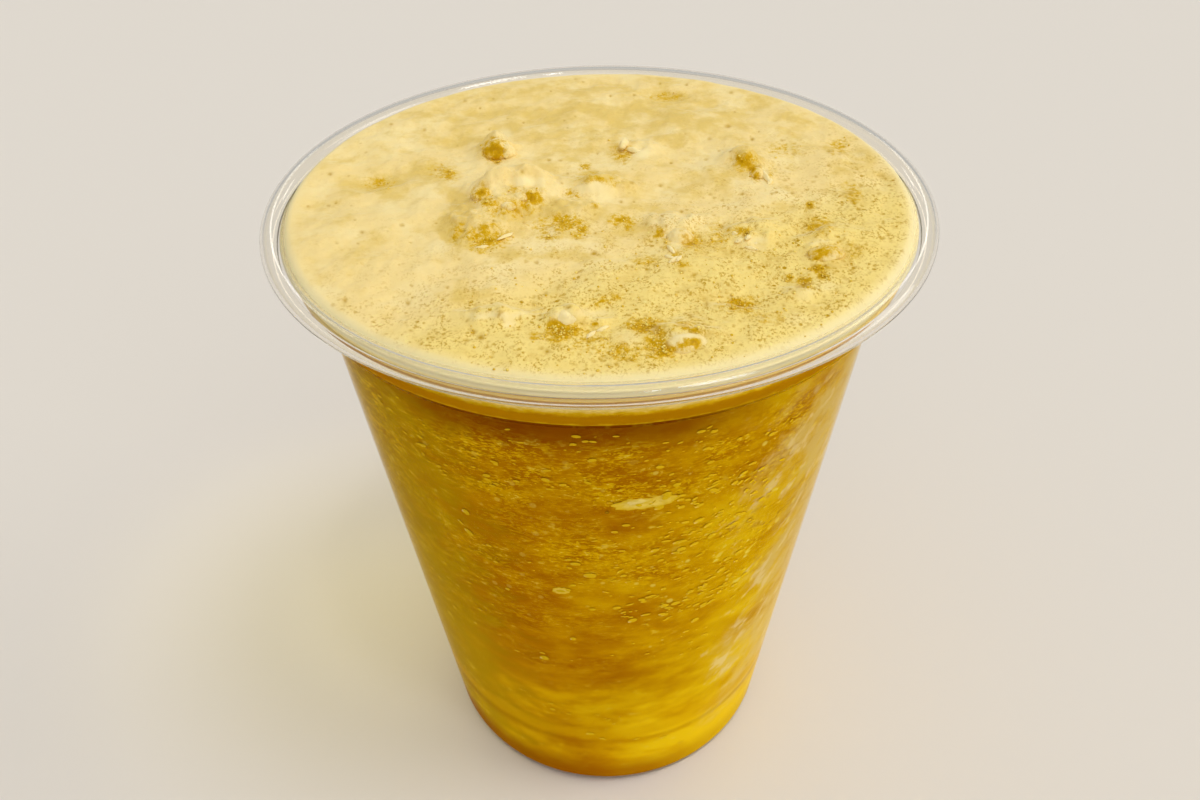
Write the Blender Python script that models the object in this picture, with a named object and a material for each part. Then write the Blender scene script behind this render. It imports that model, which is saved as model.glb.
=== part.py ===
"""A takeaway cup of iced cappuccino: a clear plastic cup, the iced coffee in it and its foam.

Metres, +Z up. The origin is the middle of the base, on the surface that the cup stands on.
"""

import math

import bmesh
import bpy
from mathutils import Vector, noise

MM = 0.001

# Cup: one sheet of clear plastic, drawn to a tapered wall with a rolled rim
RIM_RADIUS = 49.0 * MM
CUP_HEIGHT = 110.0 * MM
SHEET = 0.5 * MM

# Rolled rim: the sheet turns outward over an oval and ends short of the neck
RIM_WIDTH = 3.4 * MM
RIM_DEPTH = 3.0 * MM
RIM_ROLL_FROM = math.radians(180.0)
RIM_ROLL_TO = math.radians(-120.0)
RIM_STEPS = 10

# Neck: a short band under the rim, with a small step down to the wall
NECK_TOP_DEPTH = 3.2 * MM
NECK_TOP_RADIUS = 45.3 * MM
NECK_BOTTOM_DEPTH = 9.2 * MM
NECK_BOTTOM_RADIUS = 44.1 * MM
STEP_HEIGHT = 1.2 * MM
WALL_TOP_RADIUS = 42.2 * MM

# Foot: a rounded corner, a flat ring that the cup stands on, and a shallow recess inside it
WALL_FOOT_RADIUS = 30.8 * MM
FOOT_ROUNDING = 3.8 * MM
FOOT_RING_WIDTH = 2.0 * MM
RECESS_SLOPE_WIDTH = 1.2 * MM
RECESS_DEPTH = 2.0 * MM
FOOT_STEPS = 4

# Contents: the clearance keeps neighbouring solids from touching
CLEARANCE = 0.3 * MM
FOAM_BOTTOM_DEPTH = 4.6 * MM
FOAM_EDGE_DEPTH = 0.65 * MM
FOAM_SKIRT_RINGS = 3

# Foam top: a soft swell, low rolling relief and the lumps of ice that stand out of it
FOAM_RINGS = 20
FOAM_SWELL = 0.5 * MM
FOAM_RELIEF = 0.7 * MM
FOAM_RELIEF_SPACING = 9.0 * MM
FOAM_RELIEF_OFFSET = Vector((3.1, 7.4, 0.6))
FOAM_QUIET_EDGE = 5.0 * MM

# Each lump: middle x and y, half length, half width, turn in degrees, height (below 0 for a dip), in mm
LUMPS = (
    (-12.0, -1.5, 7.2, 4.2, 18.0, 2.6),
    (-16.0, -9.0, 5.6, 4.6, 55.0, 2.0),
    (-12.0, 3.6, 5.4, 2.2, 8.0, 1.5),
    (-16.1, 16.6, 2.6, 2.3, 0.0, 2.6),
    (0.8, 0.4, 4.6, 2.3, -6.0, 1.6),
    (6.1, 14.6, 4.0, 1.9, -28.0, 1.3),
    (22.8, 8.6, 3.2, 2.6, -35.0, 2.3),
    (-4.4, -32.4, 2.3, 2.1, 0.0, 2.0),
    (-12.5, -32.2, 5.2, 1.9, -4.0, 1.1),
    (10.4, -37.2, 4.4, 2.4, 8.0, 1.2),
    (11.2, -11.0, 4.6, 2.6, -30.0, 1.2),
    (21.0, -14.5, 4.4, 2.6, 12.0, 0.9),
    (29.6, -20.8, 4.0, 2.6, 30.0, 0.8),
    (-33.0, 5.0, 6.0, 3.4, 20.0, -0.9),
    (11.2, 34.4, 4.4, 2.4, 0.0, -0.9),
    (17.4, -29.4, 4.2, 2.4, 0.0, -0.8),
    (-19.5, 28.0, 5.0, 2.6, 30.0, -0.7),
)

TURN_STEPS = 72
MERGE = 0.001 * MM
SHARP_ANGLE = math.radians(40.0)


def oval_point(half_width, half_depth, angle):
    """A point of the rim's oval, as radius and height."""
    middle_radius = RIM_RADIUS - RIM_WIDTH / 2.0
    middle_height = CUP_HEIGHT - RIM_DEPTH / 2.0
    radius = middle_radius + half_width * math.cos(angle)
    height = middle_height + half_depth * math.sin(angle)
    return (radius, height)


def foot_outline():
    """Outside of the foot, from the axis out to the bottom of the wall."""
    ring_outer = WALL_FOOT_RADIUS - FOOT_ROUNDING
    ring_inner = ring_outer - FOOT_RING_WIDTH
    points = [
        (0.0, RECESS_DEPTH),
        (ring_inner - RECESS_SLOPE_WIDTH, RECESS_DEPTH),
        (ring_inner, 0.0),
        (ring_outer, 0.0),
    ]
    for step in range(1, FOOT_STEPS + 1):
        angle = math.pi / 2.0 * step / FOOT_STEPS
        radius = ring_outer + FOOT_ROUNDING * math.sin(angle)
        height = FOOT_ROUNDING * (1.0 - math.cos(angle))
        points.append((radius, height))
    return points


def rim_outline():
    """Hollow side of the rolled rim, from the neck over the top to the sheet's free edge."""
    points = []
    for step in range(RIM_STEPS + 1):
        angle = RIM_ROLL_FROM + (RIM_ROLL_TO - RIM_ROLL_FROM) * step / RIM_STEPS
        points.append(oval_point(RIM_WIDTH / 2.0 - SHEET, RIM_DEPTH / 2.0 - SHEET, angle))
    return points


def outside_outline():
    """The sheet's outer side from the middle of the base to the free edge of the rim."""
    neck_bottom = CUP_HEIGHT - NECK_BOTTOM_DEPTH
    return [
        *foot_outline(),
        (WALL_TOP_RADIUS, neck_bottom - STEP_HEIGHT),
        (NECK_BOTTOM_RADIUS, neck_bottom),
        (NECK_TOP_RADIUS, CUP_HEIGHT - NECK_TOP_DEPTH),
        *rim_outline(),
    ]


def moved_in(outline, distance):
    """The outline moved sideways by a distance, towards the inside of the cup."""
    moved = []
    last = len(outline) - 1
    for index, point in enumerate(outline):
        before = Vector(outline[max(index - 1, 0)])
        here = Vector(point)
        after = Vector(outline[min(index + 1, last)])
        runs = [run.normalized() for run in (here - before, after - here) if run.length > 0.0]
        sides = [Vector((-run.y, run.x)) for run in runs]
        side = sum(sides, Vector((0.0, 0.0))).normalized()
        spread = side.dot(sides[0])
        place = here + side * (distance / spread)
        moved.append((max(place.x, 0.0), place.y))
    return moved


def bore_outline(clearance):
    """The cup's inner side, standing off by a clearance, up to where the rim starts to roll."""
    rolled = RIM_STEPS + 1
    inner = moved_in(outside_outline(), SHEET + clearance)
    return inner[: len(inner) - rolled + 3]


def bore_radius(height, clearance):
    """Radius of the cup's inner side at a height, less a clearance."""
    outline = bore_outline(clearance)
    for (low_radius, low), (high_radius, high) in reversed(list(zip(outline, outline[1:]))):
        if low <= height <= high and high > low:
            share = (height - low) / (high - low)
            return low_radius + (high_radius - low_radius) * share
    return outline[-1][0]


def cup_outline():
    """Both sides of the sheet in one line, from the axis inside the cup to the axis under it."""
    outside = outside_outline()
    return moved_in(outside, SHEET) + outside[::-1]


def drink_outline():
    """The drink's outline, from the middle of its bottom to the middle of its top."""
    top = CUP_HEIGHT - FOAM_BOTTOM_DEPTH - CLEARANCE
    below = [point for point in bore_outline(CLEARANCE) if point[1] < top]
    return [*below, (bore_radius(top, CLEARANCE), top), (0.0, top)]


def turned_mesh(name, outline):
    """A closed mesh made by turning an outline about the Z axis."""
    shape = bmesh.new()
    corners = [shape.verts.new((radius, 0.0, height)) for radius, height in outline]
    lines = [shape.edges.new(pair) for pair in zip(corners, corners[1:])]
    bmesh.ops.spin(
        shape,
        geom=corners + lines,
        axis=(0.0, 0.0, 1.0),
        cent=(0.0, 0.0, 0.0),
        angle=math.tau,
        steps=TURN_STEPS,
        use_merge=True,
    )
    return closed_mesh(name, shape)


def closed_mesh(name, shape):
    """Write a bmesh to a mesh with its doubles merged, its faces pointing out and smooth shading."""
    bmesh.ops.remove_doubles(shape, verts=shape.verts, dist=MERGE)
    bmesh.ops.dissolve_degenerate(shape, edges=shape.edges, dist=MERGE)
    bmesh.ops.recalc_face_normals(shape, faces=shape.faces)
    if shape.calc_volume(signed=True) < 0.0:
        bmesh.ops.reverse_faces(shape, faces=shape.faces)
    mesh = bpy.data.meshes.new(name)
    shape.to_mesh(mesh)
    shape.free()
    mesh.shade_smooth()
    mesh.set_sharp_from_angle(angle=SHARP_ANGLE)
    return mesh


def lump_height(x, y):
    """How far the lumps and dips raise the foam at a point."""
    height = 0.0
    for middle_x, middle_y, length, width, turn, rise in LUMPS:
        cos, sin = math.cos(math.radians(turn)), math.sin(math.radians(turn))
        across, along = x - middle_x * MM, y - middle_y * MM
        u = (across * cos + along * sin) / (length * MM)
        v = (along * cos - across * sin) / (width * MM)
        height += rise * MM * math.exp(-((u * u + v * v) ** 1.4))
    return height


def foam_height(x, y, edge_radius):
    """Height of the foam's top at a point."""
    out = math.hypot(x, y) / edge_radius
    edge = min(1.0, (1.0 - out) * edge_radius / FOAM_QUIET_EDGE)
    quiet = edge * edge * (3.0 - 2.0 * edge)
    place = Vector((x, y, 0.0)) / FOAM_RELIEF_SPACING + FOAM_RELIEF_OFFSET
    rolling = FOAM_RELIEF * (noise.noise(place) + 0.5 * noise.noise(place * 2.1))
    swell = FOAM_SWELL * (1.0 - out * out)
    return CUP_HEIGHT - FOAM_EDGE_DEPTH + swell + quiet * (rolling + lump_height(x, y))


def foam_top(shape, edge_radius):
    """Add the foam's top: a split hexagon pushed out to a round disc, then raised."""
    bmesh.ops.create_circle(shape, cap_ends=True, cap_tris=True, segments=6, radius=1.0)
    bmesh.ops.subdivide_edges(shape, edges=shape.edges, cuts=FOAM_RINGS - 1, use_grid_fill=True)
    for corner in shape.verts:
        x, y = corner.co.x, corner.co.y
        reach = math.hypot(x, y)
        if reach > 0.0:
            sector = (math.atan2(y, x) + math.pi / 6.0) % (math.pi / 3.0) - math.pi / 6.0
            ring = reach * math.cos(sector) / math.cos(math.pi / 6.0)
            x, y = x / reach * ring * edge_radius, y / reach * ring * edge_radius
        corner.co = (x, y, foam_height(x, y, edge_radius))


def foam_skirt(shape):
    """Close the foam below: its side follows the inside of the cup, down to a flat bottom."""
    bottom = CUP_HEIGHT - FOAM_BOTTOM_DEPTH
    edge = CUP_HEIGHT - FOAM_EDGE_DEPTH
    border = [line for line in shape.edges if line.is_boundary]
    for ring in range(1, FOAM_SKIRT_RINGS + 1):
        height = edge + (bottom - edge) * ring / FOAM_SKIRT_RINGS
        radius = bore_radius(height, CLEARANCE)
        made = bmesh.ops.extrude_edge_only(shape, edges=border)["geom"]
        border = [item for item in made if isinstance(item, bmesh.types.BMEdge) and item.is_boundary]
        for corner in {corner for line in border for corner in line.verts}:
            flat = Vector((corner.co.x, corner.co.y, 0.0)).normalized() * radius
            corner.co = (flat.x, flat.y, height)
    bmesh.ops.holes_fill(shape, edges=border, sides=0)


def foam_mesh(name):
    """The foam as one closed solid."""
    edge = CUP_HEIGHT - FOAM_EDGE_DEPTH
    shape = bmesh.new()
    foam_top(shape, bore_radius(edge, CLEARANCE))
    foam_skirt(shape)
    return closed_mesh(name, shape)


def finish(name, colour, roughness, transmission=0.0, ior=1.45):
    """A plain material of one colour."""
    material = bpy.data.materials.new(name)
    material.use_nodes = True
    material.diffuse_color = (*colour, 1.0)
    shader = material.node_tree.nodes["Principled BSDF"]
    shader.inputs["Base Color"].default_value = (*colour, 1.0)
    shader.inputs["Metallic"].default_value = 0.0
    shader.inputs["Roughness"].default_value = roughness
    shader.inputs["Transmission Weight"].default_value = transmission
    shader.inputs["IOR"].default_value = ior
    return material


def place(name, mesh, material, parent):
    """Put a mesh into the scene as a named object with its material."""
    mesh.materials.append(material)
    item = bpy.data.objects.new(name, mesh)
    item.parent = parent
    bpy.context.collection.objects.link(item)
    return item


def clear_scene():
    """Remove whatever the scene holds."""
    for item in list(bpy.data.objects):
        bpy.data.objects.remove(item, do_unlink=True)


def main():
    """Build the cup, the drink in it and the foam on top."""
    clear_scene()
    stand = bpy.data.objects.new("stand", None)
    bpy.context.collection.objects.link(stand)
    clear_plastic = finish("clear_plastic", (0.92, 0.93, 0.92), 0.06, transmission=1.0, ior=1.5)
    coffee = finish("iced_coffee", (0.46, 0.23, 0.012), 0.35)
    froth = finish("milk_foam", (0.84, 0.65, 0.27), 0.55)
    place("cup", turned_mesh("cup", cup_outline()), clear_plastic, stand)
    place("iced_coffee", turned_mesh("iced_coffee", drink_outline()), coffee, stand)
    place("foam", foam_mesh("foam"), froth, stand)


main()
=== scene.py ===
"""Looks of a takeaway cup of iced cappuccino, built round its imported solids.

Metres, +Z up, with the origin in the middle of the base. The photograph is taken as 1200 x 800 pixels.
"""

import logging
import math
import random
from dataclasses import dataclass
from enum import Enum
from functools import cached_property, partial, reduce

import bmesh
import bpy
from mathutils import Matrix, Vector, kdtree, noise


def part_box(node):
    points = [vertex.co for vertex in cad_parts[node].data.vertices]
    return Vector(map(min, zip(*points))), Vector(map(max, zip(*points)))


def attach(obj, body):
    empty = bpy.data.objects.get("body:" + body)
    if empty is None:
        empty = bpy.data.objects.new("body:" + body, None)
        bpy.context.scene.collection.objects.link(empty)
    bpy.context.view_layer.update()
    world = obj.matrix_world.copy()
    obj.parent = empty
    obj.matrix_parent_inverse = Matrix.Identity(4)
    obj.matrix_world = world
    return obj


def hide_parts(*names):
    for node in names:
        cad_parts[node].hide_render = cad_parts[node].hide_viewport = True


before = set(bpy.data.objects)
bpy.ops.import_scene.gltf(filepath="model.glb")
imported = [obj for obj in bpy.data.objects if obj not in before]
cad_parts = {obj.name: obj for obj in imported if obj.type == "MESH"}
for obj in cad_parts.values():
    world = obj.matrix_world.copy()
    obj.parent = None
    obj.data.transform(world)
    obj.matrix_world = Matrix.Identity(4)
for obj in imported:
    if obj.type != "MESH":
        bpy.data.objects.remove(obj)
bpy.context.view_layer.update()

LOG = logging.getLogger("iced_cappuccino")

MM = 0.001
BODY = "root"
MERGE = 0.001 * MM

Point = tuple[float, float]
Colour = tuple[float, float, float]
Value = bpy.types.NodeSocket | float
Paint = bpy.types.NodeSocket | Colour
Input = Value | Paint


class Slot(Enum):
    """The record's material slots."""

    PLASTIC = "clear_plastic"
    COFFEE = "iced_coffee"
    FOAM = "milk_foam"


@dataclass(frozen=True)
class PhotoEye:
    """Where the photograph was taken from, and how it sees the cup.

    Attributes:
        back: Distance in front of the cup's axis.
        above: Height over the table.
        pitch: Angle by which it looks down.
        yaw: Angle by which it looks to the right.
        roll: Angle by which it leans.
        focal_pixels: Focal length in the photograph's pixels.
    """

    back: float = 140.5 * MM
    above: float = 183.0 * MM
    pitch: float = math.radians(38.87)
    yaw: float = math.radians(-0.16)
    roll: float = math.radians(-1.19)
    focal_pixels: float = 1050.0
    photo_width: int = 1200
    photo_height: int = 800

    def place(self) -> Vector:
        """The eye's own place."""
        return Vector((0.0, -self.back, self.above))

    def axes(self) -> tuple[Vector, Vector, Vector]:
        """Find the eye's own directions.

        Returns:
            The directions to its right, up and straight ahead.
        """
        ahead = Vector((
            math.sin(self.yaw) * math.cos(self.pitch),
            math.cos(self.yaw) * math.cos(self.pitch),
            -math.sin(self.pitch),
        ))
        level = Vector((math.cos(self.yaw), -math.sin(self.yaw), 0.0))
        upright = level.cross(ahead)
        right = level * math.cos(self.roll) + upright * math.sin(self.roll)
        up = upright * math.cos(self.roll) - level * math.sin(self.roll)
        return right, up, ahead

    def pixels(self, points: list[Vector]) -> list[Point]:
        """Find the pixels at which points are seen.

        Args:
            points: The points.

        Returns:
            Their pixels, from the left and from the top.
        """
        right, up, ahead = self.axes()
        start = self.place()
        seen = []
        for point in points:
            away = point - start
            scale = self.focal_pixels / away.dot(ahead)
            seen.append((
                self.photo_width / 2.0 + scale * away.dot(right),
                self.photo_height / 2.0 - scale * away.dot(up),
            ))
        return seen

    def on_level(self, x: float, y: float, height: float) -> Vector:
        """Find the point of a level plane that is seen at a pixel.

        Args:
            x: The pixel, from the left.
            y: The pixel, from the top.
            height: Height of the plane, in metres.

        Returns:
            The point.
        """
        right, up, ahead = self.axes()
        ray = right * (x - self.photo_width / 2.0) - up * (y - self.photo_height / 2.0) + ahead * self.focal_pixels
        start = self.place()
        return start + ray * ((height - start.z) / ray.z)


@dataclass(frozen=True)
class Mark:
    """One patch of the foam as the photograph shows it, in its pixels.

    Attributes:
        x: Middle, from the left.
        y: Middle, from the top.
        wide: Half width.
        high: Half height.
        strength: Share of the effect.
        turn: Degrees by which its right end falls.
    """

    x: float
    y: float
    wide: float
    high: float
    strength: float = 1.0
    turn: float = 0.0

    def share(self, x: float, y: float, edge: float) -> float:
        """Measure the patch's effect at a pixel.

        Args:
            x: The pixel, from the left.
            y: The pixel, from the top.
            edge: Sharpness of the patch's edge.

        Returns:
            The effect, from 0 to the patch's strength.
        """
        cos, sin = math.cos(math.radians(self.turn)), math.sin(math.radians(self.turn))
        across, along = x - self.x, y - self.y
        u = (across * cos + along * sin) / self.wide
        v = (along * cos - across * sin) / self.high
        return self.strength * math.exp(-((u * u + v * v) ** edge))


@dataclass(frozen=True)
class Spot:
    """One feature of the foam's top, in millimetres and degrees.

    Attributes:
        x: Middle, to the right.
        y: Middle, away from the camera.
        length: Half length.
        width: Half width.
        turn: Angle of the length from the X axis.
        strength: Height in millimetres.
    """

    x: float
    y: float
    length: float
    width: float
    turn: float = 0.0
    strength: float = 1.0

    def reach(self, x: float, y: float) -> float:
        """Measure how far a point lies out of the feature.

        Args:
            x: Across, in millimetres.
            y: Along, in millimetres.

        Returns:
            The squared distance, 1 at the feature's edge.
        """
        cos, sin = math.cos(math.radians(self.turn)), math.sin(math.radians(self.turn))
        across, along = x - self.x, y - self.y
        u = (across * cos + along * sin) / self.length
        v = (along * cos - across * sin) / self.width
        return u * u + v * v


@dataclass(frozen=True)
class CupOutline:
    """Turned outline of the cup's sheet, as radius and height.

    Attributes:
        rim_radius: Outside of the rolled rim.
        height: Top of the rim.
        sheet: Thickness of the plastic.
    """

    rim_radius: float
    height: float
    sheet: float = 0.5 * MM
    rim_width: float = 3.4 * MM
    rim_depth: float = 3.0 * MM
    rim_from: float = math.radians(180.0)
    rim_to: float = math.radians(-120.0)
    rim_steps: int = 30
    neck_top_depth: float = 3.2 * MM
    neck_top_radius: float = 45.3 * MM
    neck_bottom_depth: float = 9.2 * MM
    neck_bottom_radius: float = 44.1 * MM
    step_height: float = 1.2 * MM
    wall_top_radius: float = 42.2 * MM
    wall_foot_radius: float = 30.8 * MM
    foot_rounding: float = 3.8 * MM
    foot_steps: int = 12
    foot_ring_width: float = 2.0 * MM
    recess_slope: float = 1.2 * MM
    recess_depth: float = 2.0 * MM

    def foot(self) -> list[Point]:
        """Draw the outside of the foot.

        Returns:
            The outline from the axis to the bottom of the wall.
        """
        ring_outer = self.wall_foot_radius - self.foot_rounding
        ring_inner = ring_outer - self.foot_ring_width
        points = [
            (0.0, self.recess_depth),
            (ring_inner - self.recess_slope, self.recess_depth),
            (ring_inner, 0.0),
            (ring_outer, 0.0),
        ]
        for step in range(1, self.foot_steps + 1):
            angle = math.pi / 2.0 * step / self.foot_steps
            radius = ring_outer + self.foot_rounding * math.sin(angle)
            points.append((radius, self.foot_rounding * (1.0 - math.cos(angle))))
        return points

    def rim(self) -> list[Point]:
        """Draw the hollow side of the rolled rim.

        Returns:
            The outline from the neck over the top to the free edge.
        """
        middle_radius = self.rim_radius - self.rim_width / 2.0
        middle_height = self.height - self.rim_depth / 2.0
        points = []
        for step in range(self.rim_steps + 1):
            angle = self.rim_from + (self.rim_to - self.rim_from) * step / self.rim_steps
            radius = middle_radius + (self.rim_width / 2.0 - self.sheet) * math.cos(angle)
            height = middle_height + (self.rim_depth / 2.0 - self.sheet) * math.sin(angle)
            points.append((radius, height))
        return points

    def corners(self) -> list[Point]:
        """Draw the step under the neck and the neck's own ends.

        Returns:
            Their corners, from below.
        """
        neck_bottom = self.height - self.neck_bottom_depth
        return [
            (self.wall_top_radius, neck_bottom - self.step_height),
            (self.neck_bottom_radius, neck_bottom),
            (self.neck_top_radius, self.height - self.neck_top_depth),
        ]

    def outside(self) -> list[Point]:
        """The sheet's outer side, from the middle of the base to the rim's free edge."""
        return [*self.foot(), *self.corners(), *self.rim()]

    def moved_in(self, distance: float) -> list[Point]:
        """Move the outer side sideways, towards the inside of the cup.

        Args:
            distance: How far, in metres.

        Returns:
            The moved outline.
        """
        outline = self.outside()
        moved = []
        for index, point in enumerate(outline):
            before = Vector(outline[max(index - 1, 0)])
            here = Vector(point)
            after = Vector(outline[min(index + 1, len(outline) - 1)])
            runs = [run.normalized() for run in (here - before, after - here) if run.length > 0.0]
            sides = [Vector((-run.y, run.x)) for run in runs]
            side = sum(sides, Vector((0.0, 0.0))).normalized()
            place = here + side * (distance / side.dot(sides[0]))
            moved.append((max(place.x, 0.0), place.y))
        return moved

    def bore(self, inset: float) -> list[Point]:
        """The cup's inner side moved in by an inset, or into the sheet by a negative one."""
        inner = self.moved_in(self.sheet + inset)
        return inner[: len(inner) - self.rim_steps * 2 // 3]

    def bore_radius(self, height: float, inset: float) -> float:
        """Radius of the cup's inner side at a height.

        Args:
            height: Height in metres.
            inset: Distance kept from the inner side.

        Returns:
            The radius in metres.
        """
        outline = self.bore(inset)
        for (low_radius, low), (high_radius, high) in reversed(list(zip(outline, outline[1:]))):
            if low <= height <= high and high > low:
                return low_radius + (high_radius - low_radius) * (height - low) / (high - low)
        return outline[-1][0]


class Recipe:
    """The shader nodes of one material, joined step by step and painted in layers."""

    def __init__(self, name: str) -> None:
        """Start a material with its Principled shader and Object coordinates.

        Args:
            name: The material's name.
        """
        self.material = bpy.data.materials.new(name)
        self.material.use_nodes = True
        self.tree = self.material.node_tree
        self.shader = self.tree.nodes["Principled BSDF"]
        self.output = self.tree.nodes["Material Output"]
        self.place = self.add("ShaderNodeTexCoord").outputs["Object"]
        self.colour: Paint = (0.0, 0.0, 0.0)

    def add(self, kind: str, inputs: dict[str | int, Input] | None = None, **settings: object) -> bpy.types.Node:
        """Add a node.

        Args:
            kind: Its type.
            inputs: Numbers, colours or links for its sockets.
            settings: Its own properties.

        Returns:
            The node.
        """
        node = self.tree.nodes.new(kind)
        for name, value in settings.items():
            setattr(node, name, value)
        for name, value in (inputs or {}).items():
            self.feed(node.inputs[name], value)
        return node

    def feed(self, socket: bpy.types.NodeSocket, value: Input) -> None:
        """Link a socket to another, or set its value.

        Args:
            socket: The socket that takes it.
            value: The other socket, a colour or a number.
        """
        if isinstance(value, bpy.types.NodeSocket):
            self.tree.links.new(value, socket)
        elif isinstance(value, tuple) and socket.type == "RGBA":
            socket.default_value = (*value, 1.0)
        else:
            socket.default_value = value

    def set(self, **values: Input) -> None:
        """Set or link the Principled shader's sockets, named with underscores for spaces."""
        for name, value in values.items():
            self.feed(self.shader.inputs[name.replace("_", " ")], value)

    def dress(self, roughness: Value, gloss: float, soft: float, tints: Colour, depth: float) -> bpy.types.Material:
        """Give the shader the painted colour, its gloss and the light that it lets in.

        Args:
            roughness: Roughness of its surface.
            gloss: Level of its mirror light.
            soft: Share of light that goes in.
            tints: How far red, green and blue light go.
            depth: The same in millimetres.

        Returns:
            The material.
        """
        self.set(Base_Color=self.colour, Roughness=roughness, Specular_IOR_Level=gloss)
        self.set(Subsurface_Weight=soft, Subsurface_Radius=tints, Subsurface_Scale=depth * MM)
        return self.material

    def cloud(
        self,
        size: float,
        detail: float = 2.0,
        roughness: float = 0.5,
        distortion: float = 0.0,
        stretch: tuple[float, float, float] = (1.0, 1.0, 1.0),
        slant: float = 0.0,
    ) -> Value:
        """A noise from 0 to 1.

        Args:
            size: Size of its largest features, in millimetres.
            detail: Octaves of finer noise.
            roughness: Share that each finer octave keeps.
            distortion: How far the noise is pulled about.
            stretch: Scale along each axis: more than 1 makes the features narrower.
            slant: Degrees by which it is turned about the Y axis.

        Returns:
            Its value.
        """
        turn = (0.0, math.radians(slant), 0.0)
        turned_place = self.add("ShaderNodeMapping", {"Rotation": turn, "Vector": self.place}).outputs["Vector"]
        place = self.add("ShaderNodeMapping", {"Scale": stretch, "Vector": turned_place}).outputs["Vector"]
        amounts = {"Scale": 1.0 / (size * MM), "Detail": detail, "Roughness": roughness, "Distortion": distortion}
        return self.add("ShaderNodeTexNoise", {**amounts, "Vector": place}).outputs["Fac"]

    def part(self, value: Value, low: float, high: float, to_low: float = 0.0, to_high: float = 1.0) -> Value:
        """Spread the part of a value between two limits over a new range, with soft ends.

        Args:
            value: The value.
            low: Limit that gives to_low.
            high: Limit that gives to_high.
            to_low: Result at and past the first limit.
            to_high: Result at and past the second.

        Returns:
            The result.
        """
        limits = {"From Min": low, "From Max": high, "To Min": to_low, "To Max": to_high, "Value": value}
        return self.add("ShaderNodeMapRange", limits, interpolation_type="SMOOTHSTEP", clamp=True).outputs["Result"]

    def rise(self, low: float, high: float, to_low: float = 0.0, to_high: float = 1.0) -> Value:
        """The same for the height over the table, between levels in millimetres."""
        return self.part(self.height, low * MM, high * MM, to_low, to_high)

    def band(self, start: float, full: float, fade: float, end: float) -> Value:
        """A band of heights in millimetres that comes and goes softly."""
        return self.times(self.rise(start, full), self.rise(end, fade))

    def sway(self, noisy: Value, most: float) -> Value:
        """Spread a noise to both sides of zero."""
        return self.part(noisy, 0.3, 0.7, -most, most)

    def calc(self, operation: str, first: Value, second: Value = 0.0, clamp: bool = False) -> Value:
        """One sum on two values."""
        return self.add("ShaderNodeMath", {0: first, 1: second}, operation=operation, use_clamp=clamp).outputs["Value"]

    def times(self, *values: Value) -> Value:
        """The product of some values."""
        return reduce(partial(self.calc, "MULTIPLY"), values)

    def plus(self, *values: Value) -> Value:
        """The sum of some values."""
        return reduce(partial(self.calc, "ADD"), values)

    def mix(self, share: Value, first: Paint, second: Paint) -> Paint:
        """Mix two colours by a share of the second."""
        sockets = {"Factor": share, 6: first, 7: second}
        return self.add("ShaderNodeMix", sockets, data_type="RGBA").outputs[2]

    def lay(self, colour: Paint, *shares: Value) -> None:
        """Paint a colour over what is there, by the product of some shares."""
        self.colour = self.mix(self.times(*shares), self.colour, colour)

    def ramp(self, value: Value, stops: tuple[tuple[float, Colour], ...]) -> Paint:
        """Turn a value into colours.

        Args:
            value: The value.
            stops: The colours with their values, from low to high.

        Returns:
            The colour.
        """
        low, high = stops[0][0], stops[-1][0]
        spread = self.add("ShaderNodeMapRange", {"From Min": low, "From Max": high, "Value": value}, clamp=True)
        node = self.add("ShaderNodeValToRGB", {"Fac": spread.outputs["Result"]})
        marks = node.color_ramp.elements
        while len(marks) < len(stops):
            marks.new(0.5)
        for mark, (place, colour) in zip(marks, stops):
            mark.position = (place - low) / (high - low)
            mark.color = (*colour, 1.0)
        return node.outputs["Color"]

    def round_dots(self, spacing: float, size: float) -> Value:
        """Round dots of many sizes: each cell draws its own radius.

        Args:
            spacing: Distance between the dots, in millimetres.
            size: Largest radius as part of the spacing.

        Returns:
            The share of dot, 0 to 1.
        """
        cells = self.add("ShaderNodeTexVoronoi", {"Scale": 1.0 / (spacing * MM), "Vector": self.place})
        draw = self.add("ShaderNodeSeparateColor", {"Color": cells.outputs["Color"]})
        radius = self.times(self.calc("POWER", draw.outputs["Red"], 2.2), size)
        return self.part(self.calc("SUBTRACT", radius, cells.outputs["Distance"]), -0.04, 0.08)

    def attribute(self, name: str) -> Value:
        """The value of a mesh attribute."""
        return self.add("ShaderNodeAttribute", attribute_name=name).outputs["Fac"]

    def axis(self, name: str) -> Value:
        """One of the Object coordinates, X, Y or Z."""
        return self.add("ShaderNodeSeparateXYZ", {"Vector": self.place}).outputs[name]

    @cached_property
    def height(self) -> Value:
        """Height over the table."""
        return self.axis("Z")

    @cached_property
    def out(self) -> Value:
        """Distance from the cup's axis."""
        squares = (self.calc("POWER", self.axis(name), 2.0) for name in "XY")
        return self.calc("SQRT", self.plus(*squares))

    @cached_property
    def side(self) -> Value:
        """How far a point lies to the right, as a part of its own radius."""
        return self.calc("DIVIDE", self.axis("X"), self.out)

    @cached_property
    def front(self) -> Value:
        """How far a point lies to the front, as a part of its own radius."""
        return self.calc("DIVIDE", self.times(self.axis("Y"), -1.0), self.out)

    def bump(self, height: Value, depth: float, strength: float) -> None:
        """Roughen the surface by a height, whose full depth is in metres."""
        node = self.add("ShaderNodeBump", {"Strength": strength, "Distance": depth, "Height": height})
        self.set(Normal=node.outputs["Normal"])


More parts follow.
